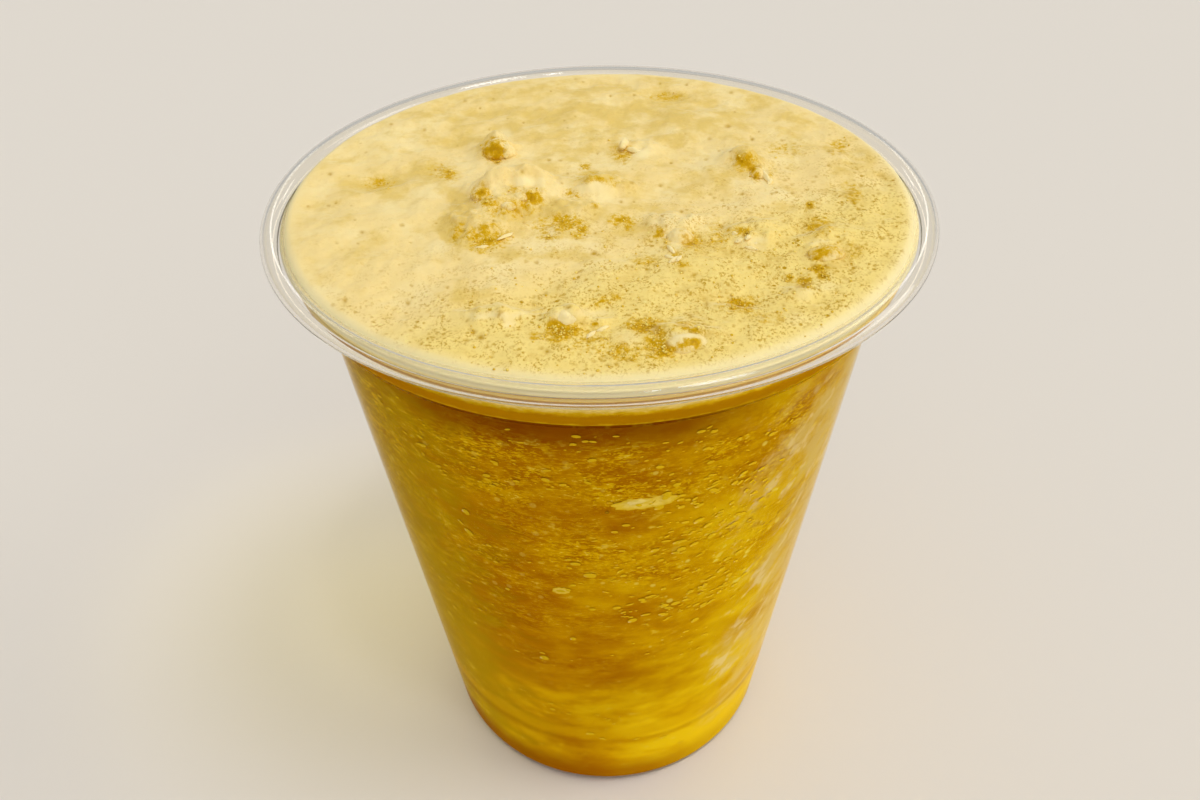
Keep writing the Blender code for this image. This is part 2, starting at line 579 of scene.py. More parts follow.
@dataclass(frozen=True)
class ClearPlastic:
    """Clear glossy sheet that lets lamps through to what it holds."""

    name: str
    bend: float = 1.5
    roughness: float = 0.03
    tint: Colour = (0.985, 0.985, 0.97)

    def make(self) -> bpy.types.Material:
        """Make the material.

        Returns:
            The material.
        """
        recipe = Recipe(self.name)
        roughness = recipe.part(recipe.cloud(6.0, detail=3.0), 0.3, 0.8, self.roughness, self.roughness * 2.0)
        recipe.set(Base_Color=self.tint, IOR=self.bend, Transmission_Weight=1.0, Roughness=roughness)
        lamp = recipe.add("ShaderNodeLightPath").outputs["Is Shadow Ray"]
        clear = recipe.add("ShaderNodeBsdfTransparent", {"Color": self.tint}).outputs["BSDF"]
        mixer = recipe.add("ShaderNodeMixShader", {0: lamp, 1: recipe.shader.outputs["BSDF"], 2: clear})
        recipe.feed(recipe.output.inputs["Surface"], mixer.outputs["Shader"])
        return recipe.material


@dataclass(frozen=True)
class IcedCoffee:
    """Golden brown blended coffee, mottled by fine ice pressed against the wall."""

    name: str = "iced_coffee"
    red_brown: Colour = (0.220, 0.050, 0.0004)
    dark_brown: Colour = (0.34, 0.102, 0.0004)
    brown: Colour = (0.44, 0.160, 0.0004)
    amber: Colour = (0.55, 0.250, 0.0005)
    gold: Colour = (0.70, 0.385, 0.0008)
    yellow: Colour = (0.83, 0.545, 0.005)
    neck_gold: Colour = (0.68, 0.410, 0.006)
    neck_brown: Colour = (0.47, 0.205, 0.0006)
    neck_cream: Colour = (0.88, 0.640, 0.190)
    olive: Colour = (0.50, 0.320, 0.0008)
    straw: Colour = (0.86, 0.660, 0.080)
    frost: Colour = (0.74, 0.510, 0.125)
    ice: Colour = (0.86, 0.670, 0.290)

    def make(self) -> bpy.types.Material:
        """Make the material, painted layer by layer.

        Returns:
            The material.
        """
        recipe = Recipe(self.name)
        for layer in (self.tones_light_and_shade, self.slivers, self.soft_chips, self.frost_and_edge_light, self.neck, self.foot):
            layer(recipe)
        return recipe.dress(roughness=0.5, gloss=0.0, soft=0.08, tints=(1.0, 0.6, 0.1), depth=0.5)

    def tones_light_and_shade(self, recipe: Recipe) -> None:
        """Broad soft colour, brown in the middle and at the top, olive on the left, yellow on the right, with painted
        light and shade: painted shade darkens the top under the rim, painted light makes the right side yellow and the
        lower part lighter, and the far left edge gets a painted yellow light.

        Args:
            recipe: The material's recipe.
        """
        broad = recipe.cloud(22.0, stretch=(1.0, 1.0, 1.5))
        drift = recipe.cloud(6.5, detail=4.0, roughness=0.6, stretch=(1.0, 1.0, 1.9))
        # Painted light and shade: the side term makes the right brighter and yellower, the top darkens as painted
        # shade under the rim, and the lower part lightens as painted light.
        tone_and_light = recipe.plus(
            recipe.part(recipe.side, -0.30, 0.75, 0.34, 0.78),
            recipe.sway(broad, 0.20),
            recipe.sway(drift, 0.16),
            recipe.rise(72.0, 96.0, 0.0, -0.24),
            recipe.rise(52.0, 28.0, 0.0, 0.18),
        )
        places = (0.0, 0.22, 0.46, 0.72, 1.0)
        colours = (self.dark_brown, self.brown, self.amber, self.gold, self.yellow)
        recipe.colour = recipe.ramp(tone_and_light, tuple(zip(places, colours)))
        # Painted light: yellow along the far left edge.
        recipe.lay(self.yellow, recipe.part(recipe.side, -0.80, -1.0, 0.0, 0.5))
        left = recipe.part(recipe.plus(recipe.side, recipe.sway(drift, 0.15)), -0.30, -0.75)
        recipe.lay(self.olive, left, recipe.part(recipe.front, -0.60, 0.0, 0.20, 0.75))

    def slivers(self, recipe: Recipe) -> None:
        """Thin yellow flakes along the wall, thick in two swaths.

        Args:
            recipe: The material's recipe.
        """
        lower = recipe.times(recipe.band(60.0, 67.0, 75.0, 80.0), recipe.part(recipe.side, -0.40, -0.1))
        swath = recipe.calc("MAXIMUM", recipe.band(78.0, 86.0, 94.0, 98.2), lower)
        clump = recipe.part(recipe.cloud(9.0, detail=3.0, stretch=(1.0, 1.0, 1.4)), 0.36, 0.60)
        where = recipe.times(recipe.calc("MAXIMUM", swath, recipe.rise(34.0, 66.0, 0.15, 0.45)), clump)
        where = recipe.calc("MAXIMUM", where, recipe.times(swath, 0.35))
        along = (1.0, 1.0, 2.6)
        coarse = recipe.cloud(3.2, detail=4.0, roughness=0.7, distortion=0.5, stretch=along)
        grain = recipe.part(recipe.cloud(0.8, roughness=0.6, distortion=0.6, stretch=along), 0.53, 0.60)
        recipe.lay(self.brown, recipe.part(coarse, 0.48, 0.40), where, 0.65)
        recipe.lay(self.gold, recipe.part(coarse, 0.50, 0.55), where, 0.85)
        recipe.lay(self.yellow, grain, where, 0.75)
        recipe.lay(self.straw, recipe.part(coarse, 0.57, 0.64), grain, where, 0.9)

    def soft_chips(self, recipe: Recipe) -> None:
        """Soft pale pieces of ice that float a little way behind the wall, mostly on the right.

        Args:
            recipe: The material's recipe.
        """
        right = recipe.times(recipe.band(46.0, 58.0, 84.0, 92.0), recipe.part(recipe.side, -0.05, 0.35, 0.25, 1.0))
        drift = recipe.part(recipe.cloud(8.0), 0.42, 0.60, 0.2, 1.0)
        where = recipe.times(recipe.calc("MAXIMUM", right, 0.22), drift)
        blob = recipe.cloud(2.1, roughness=0.45, distortion=0.3, stretch=(1.0, 1.0, 1.7), slant=12.0)
        recipe.lay(self.yellow, recipe.part(blob, 0.58, 0.68), where)
        recipe.lay(self.straw, recipe.part(blob, 0.64, 0.74), where)
        spread = recipe.times(recipe.rise(34.0, 52.0, 0.3, 1.0), recipe.rise(98.0, 88.0))
        spread = recipe.times(spread, recipe.part(recipe.side, -0.3, 0.4, 0.35, 1.0))
        recipe.lay(self.straw, recipe.round_dots(2.4, 0.26), spread, 0.75)

    def frost_and_edge_light(self, recipe: Recipe) -> None:
        """Pale tan frost down the right edge, partly frost and partly a painted highlight on the lit side, with soft
        slanted streaks of ice at its border.

        Args:
            recipe: The material's recipe.
        """
        streak = recipe.cloud(11.0, stretch=(1.0, 1.0, 1.5), slant=35.0)
        mottle = recipe.cloud(2.2, detail=3.0, roughness=0.6, stretch=(1.0, 1.0, 1.6), slant=35.0)
        patchy = recipe.cloud(4.5, detail=4.0, roughness=0.65, stretch=(1.0, 1.0, 1.5), slant=35.0)
        shard = recipe.cloud(5.0, detail=4.0, roughness=0.6, stretch=(1.0, 1.0, 1.8), slant=38.0)
        reach = recipe.plus(recipe.side, recipe.sway(streak, 0.12), recipe.sway(mottle, 0.06))
        where = recipe.times(recipe.band(10.0, 20.0, 92.0, 99.0), recipe.part(recipe.front, -0.60, -0.05))
        edge = recipe.times(recipe.part(reach, 0.54, 0.86), where)
        edge = recipe.calc("MULTIPLY", edge, recipe.part(patchy, 0.36, 0.58, 0.45, 1.1), clamp=True)
        # Pale right edge: partly frost, partly painted highlight.
        recipe.lay(self.frost, edge, 0.85)
        border = recipe.times(recipe.part(reach, 0.50, 0.62), recipe.part(reach, 1.00, 0.84))
        recipe.lay(self.ice, recipe.part(shard, 0.54, 0.68), border, where, 0.6)

    def neck(self, recipe: Recipe) -> None:
        """The neck's bands of brown, gold and cream, with painted shade under them and at the step, a light gold band
        on the step that is partly a painted highlight, and gold on the right where the painted shade at the step gives
        way to painted light.

        Args:
            recipe: The material's recipe.
        """
        # Painted shade under the neck, fading out on the right.
        shade = recipe.times(recipe.part(recipe.side, 0.70, 0.15), recipe.part(recipe.side, -0.9, -0.3, 0.25, 1.0))
        recipe.lay(self.red_brown, recipe.rise(92.5, 98.4), shade, 0.8)
        waver = recipe.cloud(1.6, detail=4.0, roughness=0.7, stretch=(1.0, 1.0, 2.2))
        # The red-brown at the bottom is painted shade at the step; the gold band just above it is partly a painted
        # highlight.
        levels = (99.4, 99.9, 100.9, 101.4, 102.6, 103.2, 103.8)
        gold, brown = self.neck_gold, self.neck_brown
        colours = (self.red_brown, gold, gold, brown, brown, gold, self.neck_cream)
        stops = tuple((level * MM, colour) for level, colour in zip(levels, colours))
        bands = recipe.ramp(recipe.plus(recipe.height, recipe.sway(waver, 0.25 * MM)), stops)
        left = recipe.times(recipe.part(recipe.side, -0.2, -0.8, 0.0, 0.5), recipe.rise(102.9, 102.3))
        # Painted light: gold instead of the painted shade at the step, on the right.
        right = recipe.times(recipe.part(recipe.side, 0.15, 0.7, 0.0, 0.85), recipe.rise(100.2, 99.6))
        bands = recipe.mix(right, recipe.mix(left, bands, self.brown), self.gold)
        recipe.lay(bands, recipe.rise(98.6, 99.2))

    def foot(self, recipe: Recipe) -> None:
        """The foot's light ring, the brown line under it and its dark edge, which is painted shade at the bottom that
        fades out on the right.

        Args:
            recipe: The material's recipe.
        """
        recipe.lay(self.gold, recipe.band(17.0, 18.6, 19.5, 22.5), 0.6)
        recipe.lay(self.brown, recipe.band(14.8, 16.2, 16.6, 17.6), 0.35)
        # Painted shade at the bottom of the foot, fading out on the right.
        recipe.lay(self.dark_brown, recipe.rise(11.0, 4.5), recipe.part(recipe.side, 0.8, 0.1, 0.35, 1.0), 0.8)


@dataclass(frozen=True)
class MilkFoam:
    """Pale yellow milk foam with cream crests, wet golden patches and fine pores, with painted highlights on its
    crests, painted shade on the lumps' fronts and in its hollows, and painted light on its side under the rim.
    """

    name: str = "milk_foam"
    tan: Colour = (0.935, 0.725, 0.305)
    honey: Colour = (0.93, 0.722, 0.215)
    cream: Colour = (0.98, 0.820, 0.420)
    straw: Colour = (0.79, 0.570, 0.150)
    damp: Colour = (0.78, 0.540, 0.090)
    gold: Colour = (0.69, 0.400, 0.003)
    deep_gold: Colour = (0.50, 0.262, 0.001)
    pore: Colour = (0.52, 0.300, 0.006)
    pit: Colour = (0.50, 0.285, 0.006)
    glint: Colour = (1.0, 0.860, 0.300)
    side_top: Colour = (1.0, 0.92, 0.60)
    side_low: Colour = (0.92, 0.70, 0.17)

    def make(self) -> bpy.types.Material:
        """Make the material, painted layer by layer.

        Returns:
            The material.
        """
        recipe = Recipe(self.name)
        # The wet attribute: golden wet patches, partly coffee soaked into the foam and partly painted shade on the
        # lumps' fronts.
        wet = recipe.times(recipe.calc("POWER", recipe.attribute("wet"), 0.8), 1.1)
        recipe.colour = self.tan
        recipe.lay(self.cream, recipe.part(recipe.cloud(7.0, detail=3.0), 0.45, 0.68, 0.0, 0.55))
        recipe.lay(self.honey, recipe.part(recipe.attribute("coarse"), 0.55, 1.0, 0.0, 0.8))
        # Straw in the dips: a random tone from the noise, with painted shade in the marked hollows.
        sunk = recipe.times(recipe.attribute("dip"), 1.25)
        dips = recipe.plus(recipe.cloud(5.0, detail=4.0, roughness=0.6), sunk)
        recipe.lay(self.straw, recipe.part(dips, 0.50, 0.78, 0.0, 0.85))
        self.soaked_and_shaded(recipe, wet)
        # Cream from the pale marks, knobs and border, partly a painted highlight on crests that face the back.
        recipe.lay(self.cream, recipe.attribute("cream"))
        self.with_pores(recipe, wet)
        # The foam's side, painted paler than its top: partly its own milk colour, partly painted light that stands in
        # for the light the rim scatters onto it.
        levels = ((105.2 * MM, self.side_low), (106.8 * MM, self.side_top), (109.0 * MM, self.side_top))
        recipe.lay(recipe.ramp(recipe.height, levels), recipe.attribute("flank"))
        rough = recipe.part(wet, 0.0, 1.0, 0.5, 0.3)
        return recipe.dress(rough, gloss=0.05, soft=0.1, tints=(1.0, 0.8, 0.4), depth=0.4)

    def soaked_and_shaded(self, recipe: Recipe, wet: Value) -> None:
        """Soak the wet patches in coffee, with ragged edges and pale specks left between; some patches are painted
        shade on the lumps' fronts.

        Args:
            recipe: The material's recipe.
            wet: How wet the foam is, with the painted shade on the lumps' fronts.
        """
        ragged = recipe.calc("SUBTRACT", recipe.cloud(0.9, detail=4.0, roughness=0.75), 0.5)
        ragged = recipe.times(ragged, recipe.part(wet, 0.0, 0.3, 0.0, 2.3))
        soak_and_shade = recipe.calc("ADD", recipe.times(wet, 0.9), ragged, clamp=True)
        stops = ((0.0, self.straw), (0.3, self.damp), (0.6, self.gold), (1.0, self.deep_gold))
        recipe.lay(recipe.ramp(soak_and_shade, stops), recipe.part(soak_and_shade, 0.04, 0.55))

    def with_pores(self, recipe: Recipe, wet: Value) -> None:
        """Add fine pores, thickest at the front and in the wet patches, and the glints between them.

        Args:
            recipe: The material's recipe.
            wet: How wet the foam is, with the painted shade on the lumps' fronts.
        """
        patch = recipe.part(recipe.cloud(2.6, detail=3.0, roughness=0.6), 0.38, 0.62, 0.15, 1.25)
        share = recipe.calc("MULTIPLY", recipe.attribute("coarse"), patch, clamp=True)
        share = recipe.calc("ADD", share, recipe.times(wet, 0.5), clamp=True)
        share = recipe.times(share, recipe.part(recipe.attribute("cream"), 0.1, 0.7, 1.0, 0.1))
        grain = recipe.cloud(0.46, detail=3.0, roughness=0.75, stretch=(1.1, 0.9, 1.0))
        dust = recipe.times(recipe.part(grain, 0.485, 0.40), share, 0.8)
        dots = recipe.times(recipe.round_dots(0.90, 0.40), share)
        recipe.lay(self.pore, recipe.calc("MAXIMUM", dust, dots))
        recipe.lay(self.pit, recipe.attribute("pit"))
        dry = recipe.part(wet, 0.2, 0.7, 1.0, 0.15)
        recipe.lay(self.glint, recipe.part(grain, 0.60, 0.70), recipe.part(share, 0.0, 0.8, 0.15, 0.9), dry)
        recipe.bump(recipe.times(grain, share), depth=0.06 * MM, strength=0.5)


@dataclass(frozen=True)
class IceFleck:
    """Pale ice and milk caught against the wall."""

    name: str = "ice_fleck"
    dark: Colour = (0.20, 0.060, 0.0008)
    dull: Colour = (0.73, 0.45, 0.007)
    straw: Colour = (0.86, 0.61, 0.11)
    pale: Colour = (0.94, 0.79, 0.40)

    def make(self) -> bpy.types.Material:
        """Make the material.

        Returns:
            The material.
        """
        recipe = Recipe(self.name)
        stops = ((-1.0, self.dark), (0.0, self.dull), (0.5, self.straw), (1.0, self.pale))
        recipe.colour = recipe.ramp(recipe.attribute("pale"), stops)
        recipe.lay(self.dull, recipe.part(recipe.cloud(0.9, stretch=(1.0, 1.0, 2.0)), 0.40, 0.62, 0.0, 0.45))
        return recipe.dress(roughness=0.5, gloss=0.0, soft=0.2, tints=(1.0, 0.7, 0.2), depth=0.5)


@dataclass(frozen=True)
class WetBubble:
    """Tiny shiny bubbles that stand in the wet patches of the foam."""

    name: str = "wet_bubble"
    gold: Colour = (0.70, 0.45, 0.015)
    pale: Colour = (0.98, 0.78, 0.22)

    def make(self) -> bpy.types.Material:
        """Make the material.

        Returns:
            The material.
        """
        recipe = Recipe(self.name)
        recipe.colour = self.gold
        film = recipe.part(recipe.cloud(0.8, detail=1.0), 0.3, 0.7, 0.85, 1.0)
        recipe.lay(recipe.mix(recipe.attribute("pale"), self.gold, self.pale), film)
        return recipe.dress(roughness=0.18, gloss=0.2, soft=0.2, tints=(1.0, 0.8, 0.3), depth=0.2)


@dataclass(frozen=True)
class PaleTable:
    """Plain pale table top."""

    name: str = "pale_table"
    colour: Colour = (0.78, 0.735, 0.675)

    def make(self) -> bpy.types.Material:
        """Make the material.

        Returns:
            The material.
        """
        recipe = Recipe(self.name)
        recipe.set(Base_Color=self.colour, Roughness=0.7, Specular_IOR_Level=0.2)
        return recipe.material


def placed(name: str, shape: bmesh.types.BMesh, material: bpy.types.Material) -> bpy.types.Object:
    """Turn a bmesh into an object of the scene.

    Args:
        name: The object's name.
        shape: Its bmesh, which is freed.
        material: Its finish.

    Returns:
        The new object.
    """
    mesh = bpy.data.meshes.new(name)
    shape.to_mesh(mesh)
    shape.free()
    mesh.materials.append(material)
    item = bpy.data.objects.new(name, mesh)
    bpy.context.scene.collection.objects.link(item)
    return item


def finished(name: str, shape: bmesh.types.BMesh, material: bpy.types.Material) -> bpy.types.Object:
    """Turn a bmesh into a smooth shown piece that rides on the part's one body.

    Args:
        name: The piece's name.
        shape: Its bmesh, which is freed.
        material: Its finish.

    Returns:
        The new piece.
    """
    piece = placed(name, shape, material)
    piece.data.shade_smooth()
    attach(piece, BODY)
    return piece


def pour(shape: bmesh.types.BMesh, whole: bmesh.types.BMesh) -> None:
    """Move one batch of small shapes into the whole, because adding to one large bmesh is slow.

    Args:
        shape: The batch, which is freed.
        whole: The bmesh that takes it.
    """
    store = bpy.data.meshes.new("batch")
    shape.to_mesh(store)
    shape.free()
    whole.from_mesh(store)
    bpy.data.meshes.remove(store)


def mark_corners(mesh: bpy.types.Mesh, **marks: list[float]) -> None:
    """Store named values at each corner of a mesh, for its material to read."""
    for name, values in marks.items():
        mesh.attributes.new(name, "FLOAT", "POINT").data.foreach_set("value", values)


def turned(outline: list[Point], steps: int) -> bmesh.types.BMesh:
    """Turn an outline about the Z axis into a closed shape that faces out.

    Args:
        outline: Radius and height, from the axis back to the axis.
        steps: Segments round the axis.

    Returns:
        The bmesh.
    """
    shape = bmesh.new()
    corners = [shape.verts.new((radius, 0.0, height)) for radius, height in outline]
    lines = [shape.edges.new(pair) for pair in zip(corners, corners[1:])]
    bmesh.ops.spin(
        shape,
        geom=corners + lines,
        axis=(0.0, 0.0, 1.0),
        cent=(0.0, 0.0, 0.0),
        angle=math.tau,
        steps=steps,
        use_merge=True,
    )
    bmesh.ops.remove_doubles(shape, verts=shape.verts, dist=MERGE)
    bmesh.ops.dissolve_degenerate(shape, edges=shape.edges, dist=MERGE)
    face_out(shape)
    return shape


def face_out(shape: bmesh.types.BMesh) -> None:
    """Point a closed shape's faces outwards.

    Args:
        shape: The shape.
    """
    bmesh.ops.recalc_face_normals(shape, faces=shape.faces)
    if shape.calc_volume(signed=True) < 0.0:
        bmesh.ops.reverse_faces(shape, faces=shape.faces)


@dataclass(frozen=True)
class ClearCup:
    """The clear plastic cup."""

    outline: CupOutline
    steps: int = 256
    corner_rounding: float = 0.45 * MM
    corner_steps: int = 4

    def build(self) -> bpy.types.Object:
        """Turn the sheet, round the corners of its neck and dress it.

        Returns:
            The dressed piece.
        """
        outside = self.outline.outside()
        shape = turned(self.outline.moved_in(self.outline.sheet) + outside[::-1], self.steps)
        self.round_corners(shape)
        neck_top = self.outline.height - self.outline.neck_top_depth
        for face in shape.faces:
            middle = face.calc_center_median()
            inside = math.hypot(middle.x, middle.y) < self.outline.neck_top_radius
            face.material_index = int(middle.z < neck_top and inside)
        rim = ClearPlastic("clear_rim", bend=1.42, tint=(0.995, 0.975, 0.925))
        cup = finished("cup_clear", shape, rim.make())
        cup.data.materials.append(ClearPlastic("clear_wall", bend=1.02).make())
        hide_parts("cup")
        return cup

    def round_corners(self, shape: bmesh.types.BMesh) -> None:
        """Round the turned rings at the neck's corners, on both sides of the sheet.

        Args:
            shape: The cup's bmesh.
        """
        first = len(self.outline.foot())
        corners = slice(first, first + len(self.outline.corners()))
        rings = [*self.outline.outside()[corners], *self.outline.moved_in(self.outline.sheet)[corners]]
        lines = [line for line in shape.edges if self.on_ring(line, rings)]
        bmesh.ops.bevel(
            shape,
            geom=lines,
            offset=self.corner_rounding,
            offset_type="OFFSET",
            segments=self.corner_steps,
            profile=0.5,
            affect="EDGES",
            material=-1,
        )

    @staticmethod
    def on_ring(line: bmesh.types.BMEdge, rings: list[Point]) -> bool:
        """Tell whether an edge runs along one of the turned rings.

        Args:
            line: The edge.
            rings: Radius and height of each ring.

        Returns:
            True where it does.
        """
        first, second = line.verts
        if abs(first.co.z - second.co.z) > MERGE:
            return False
        place = Vector((math.hypot(first.co.x, first.co.y), first.co.z))
        return any((place - Vector(ring)).length < 10.0 * MERGE for ring in rings)


@dataclass(frozen=True)
class CoffeeFill:
    """The drink, which reaches just into the cup's wall."""

    outline: CupOutline
    top: float
    into_wall: float = 0.12 * MM
    steps: int = 192

    def build(self) -> bpy.types.Object:
        """Turn the drink up to the foam and dress it.

        Returns:
            The dressed piece.
        """
        below = [point for point in self.outline.bore(-self.into_wall) if point[1] < self.top]
        edge = (self.outline.bore_radius(self.top, -self.into_wall), self.top)
        shape = turned([*below, edge, (0.0, self.top)], self.steps)
        drink = finished("iced_coffee_fill", shape, IcedCoffee().make())
        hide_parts("iced_coffee")
        return drink


@dataclass(frozen=True)
class Chip:
    """One named piece of ice or milk against the wall.

    Attributes:
        angle: Degrees from the front, more to the right.
        height: Height of its middle, in millimetres.
        length: Half length along the wall, in millimetres.
        width: Half width, in millimetres.
        pale: -1 for dark brown, 0 for gold, to 1 for white.
        slope: Degrees by which its right end rises.
        rough: Unevenness of its outline, as part of its size.
    """

    angle: float
    height: float
    length: float
    width: float
    pale: float
    slope: float = 0.0
    rough: float = 0.0


CHIPS = (
    Chip(7.9, 83.9, 4.5, 1.15, 0.42, 1.0, 0.20),
    Chip(6.0, 84.2, 2.2, 0.62, 0.62, 4.0, 0.30),
    Chip(12.6, 84.0, 1.4, 0.50, 0.50, 8.0, 0.30),
    Chip(9.6, 83.9, 0.50, 0.10, -0.4, 50.0),
    Chip(8.9, 83.5, 0.30, 0.08, -0.4, 10.0),
    Chip(0.5, 82.4, 0.28, 0.24, -1.0),
    Chip(-10.3, 63.5, 1.3, 0.75, 0.30, 0.0, 0.3),
    Chip(-10.3, 63.5, 0.75, 0.32, -0.1, 0.0, 0.3),
    Chip(-8.6, 63.9, 0.5, 0.3, 0.7),
    Chip(-45.4, 45.9, 0.50, 0.45, 0.7),
    Chip(-37.4, 45.7, 0.40, 0.36, 0.7),
    Chip(-16.8, 43.4, 0.80, 0.55, 1.0),
    Chip(-8.4, 50.6, 0.5, 0.4, 0.85),
    Chip(-23.5, 60.9, 0.4, 0.3, 0.6),
    Chip(-30.1, 77.2, 0.70, 0.50, 0.9, -20.0),
    Chip(-38.2, 73.4, 0.3, 0.3, 0.5),
    Chip(-30.7, 72.4, 0.9, 0.45, 0.6, -30.0),
    Chip(-32.4, 74.0, 0.6, 0.25, 0.5, -40.0),
    Chip(28.4, 85.0, 0.7, 0.30, 0.7, 12.0),
    Chip(30.0, 80.7, 0.42, 0.40, 0.8),
    Chip(26.9, 79.2, 0.45, 0.36, 0.7),
    Chip(19.6, 77.7, 0.9, 0.45, 0.8, 12.0),
    Chip(13.2, 63.0, 0.45, 0.32, 0.5),
    Chip(23.8, 60.9, 0.45, 0.32, 0.6),
    Chip(28.4, 57.3, 0.45, 0.36, 0.8),
    Chip(21.2, 65.6, 0.4, 0.3, 0.6),
    Chip(-3.4, 67.9, 1.0, 0.50, 0.25),
    Chip(-6.4, 70.6, 0.8, 0.36, 0.2),
    Chip(-30.9, 10.5, 0.4, 0.3, 0.5),
    Chip(-23.3, 11.5, 0.4, 0.3, 0.5),
    Chip(-5.8, 19.6, 0.8, 0.45, 0.65),
    Chip(-1.8, 17.8, 0.7, 0.30, 0.55, -30.0),
    Chip(9.0, 16.9, 0.5, 0.28, 0.5),
    Chip(18.2, 15.2, 0.7, 0.36, 0.5),
)


@dataclass(frozen=True)
class Drift:
    """One band of the wall where the slivers gather.

    Attributes:
        low: Its bottom, in millimetres.
        high: Its top, in millimetres.
        left: Its left end, in degrees from the front.
        right: Its right end, in degrees from the front.
        share: Its part of all slivers.
        size: How large its slivers are.
        pale: How pale the palest of them is.
    """

    low: float
    high: float
    left: float
    right: float
    share: float
    size: float
    pale: float


DRIFTS = (
    Drift(84.0, 96.0, -180.0, 180.0, 0.28, 1.0, 0.35),
    Drift(55.0, 86.0, 6.0, 40.0, 0.18, 1.25, 0.90),
    Drift(60.0, 80.0, 95.0, 230.0, 0.20, 1.2, 0.60),
    Drift(12.0, 97.0, -180.0, 180.0, 0.38, 1.0, 0.70),
)


@dataclass(frozen=True)
class IceFlecks:
    """Slivers of ice and milk that lie against the inside of the wall.

    Attributes:
        count: Least number of chips, with the named ones.
        clump: Half of the most slivers that lie in one clump.
        clump_angle: Spread of a clump round the cup, in degrees.
        clump_height: Its spread in height, in millimetres.
        lowest: Height under which no sliver lies, in millimetres.
        highest: Height over which none lies, in millimetres.
        frosted_from: Angle in degrees at which the frost with its painted highlight begins, which hides the slivers.
        frosted_to: Angle in degrees at which it ends.
        length: Least half length of a sliver, in millimetres.
        longer: How many times that the longest adds to it.
        slope: Its usual slope in degrees.
        into_wall: How far the chips reach into the wall.
        step_out: How far each of the first chips stands out over the one before it.
        steps_out: Number of chips that do.
    """

    outline: CupOutline
    count: int = 1700
    clump: int = 6
    clump_angle: float = 7.2
    clump_height: float = 1.8
    lowest: float = 8.0
    highest: float = 97.5
    frosted_from: float = 40.0
    frosted_to: float = 85.0
    length: float = 0.18
    longer: float = 2.6
    slope: float = 3.0
    slope_spread: float = 10.0
    segments: int = 9
    seed: int = 7
    batch: int = 200
    into_wall: float = 0.16 * MM
    thickness: float = 0.05 * MM
    step_out: float = 0.015 * MM
    steps_out: int = 10

    def build(self) -> bpy.types.Object:
        """Put the named chips and the scattered slivers on the wall, as one mesh.

        Returns:
            The dressed piece.
        """
        draw = random.Random(self.seed)
        chips = list(CHIPS)
        while len(chips) < self.count:
            chips += self.clump_of(draw)
        whole = bmesh.new()
        pale_of: list[float] = []
        for start in range(0, len(chips), self.batch):
            shape = bmesh.new()
            for index, chip in enumerate(chips[start : start + self.batch], start):
                pale_of += self.add_chip(shape, chip, self.step_out * min(index, self.steps_out))
            pour(shape, whole)
        flecks = finished("ice_flecks", whole, IceFleck().make())
        flecks.data.shade_flat()
        mark_corners(flecks.data, pale=pale_of)
        return flecks

    def clump_of(self, draw: random.Random) -> list[Chip]:
        """Draw one loose clump of slivers in one of the drifts.

        Args:
            draw: The seeded draw.

        Returns:
            The slivers.
        """
        drift = draw.choices(DRIFTS, weights=[drift.share for drift in DRIFTS])[0]
        height = draw.uniform(drift.low, drift.high)
        angle = draw.uniform(drift.left, drift.right)
        chips = []
        for _ in range(draw.randint(2, 2 * self.clump)):
            near_angle = angle + draw.gauss(0.0, self.clump_angle)
            near_height = min(self.highest, max(self.lowest, height + draw.gauss(0.0, self.clump_height)))
            if self.frosted_from < near_angle < self.frosted_to:
                continue
            length = self.length * drift.size * (1.0 + self.longer * draw.random() ** 2)
            width = length * draw.uniform(0.25, 0.6)
            pale = drift.pale * draw.random() ** 1.5
            slope = draw.gauss(self.slope, self.slope_spread)
            chips.append(Chip(near_angle, near_height, length, width, pale, slope))
        return chips

    def add_chip(self, shape: bmesh.types.BMesh, chip: Chip, lift: float) -> list[float]:
        """Add one flat chip along the wall: a low cone, or a rounded piece where its outline is uneven.

        Args:
            shape: The bmesh that takes it.
            chip: Its place and size.
            lift: How far it stands out over the chips before it.

        Returns:
            How pale each added corner is: it fades towards the chip's edge.
        """
        height = chip.height * MM
        radius = self.outline.bore_radius(height, -self.into_wall - lift)
        matrix = (
            Matrix.Rotation(math.radians(chip.angle - 90.0), 4, "Z")
            @ Matrix.Translation((radius, 0.0, height))
            @ Matrix.Rotation(math.radians(chip.slope), 4, "X")
            @ Matrix.Diagonal((self.thickness, chip.length * MM, chip.width * MM, 1.0))
        )
        if chip.rough > 0.0 or chip.pale < 0.0:
            corners = bmesh.ops.create_icosphere(shape, subdivisions=4, radius=1.0)["verts"]
        else:
            stand = Matrix.Rotation(math.pi / 2.0, 4, "Y")
            corners = bmesh.ops.create_cone(
                shape, cap_ends=True, segments=self.segments, radius1=1.0, radius2=0.0, depth=1.0, matrix=stand
            )["verts"]
        fade = []
        for corner in corners:
            edge = corner.co.y**2 + corner.co.z**2
            fade.append(chip.pale * min(1.0, 1.6 * (1.0 - edge)) if chip.pale > 0.0 else chip.pale)
            way = Vector((0.0, corner.co.y * chip.length, corner.co.z * chip.width))
            dent = noise.noise(way * 1.1 + Vector((chip.angle, chip.height, 0.0))) + 0.5 * noise.noise(way * 2.7)
            corner.co = matrix @ (corner.co * (1.0 + chip.rough * dent))
        return fade


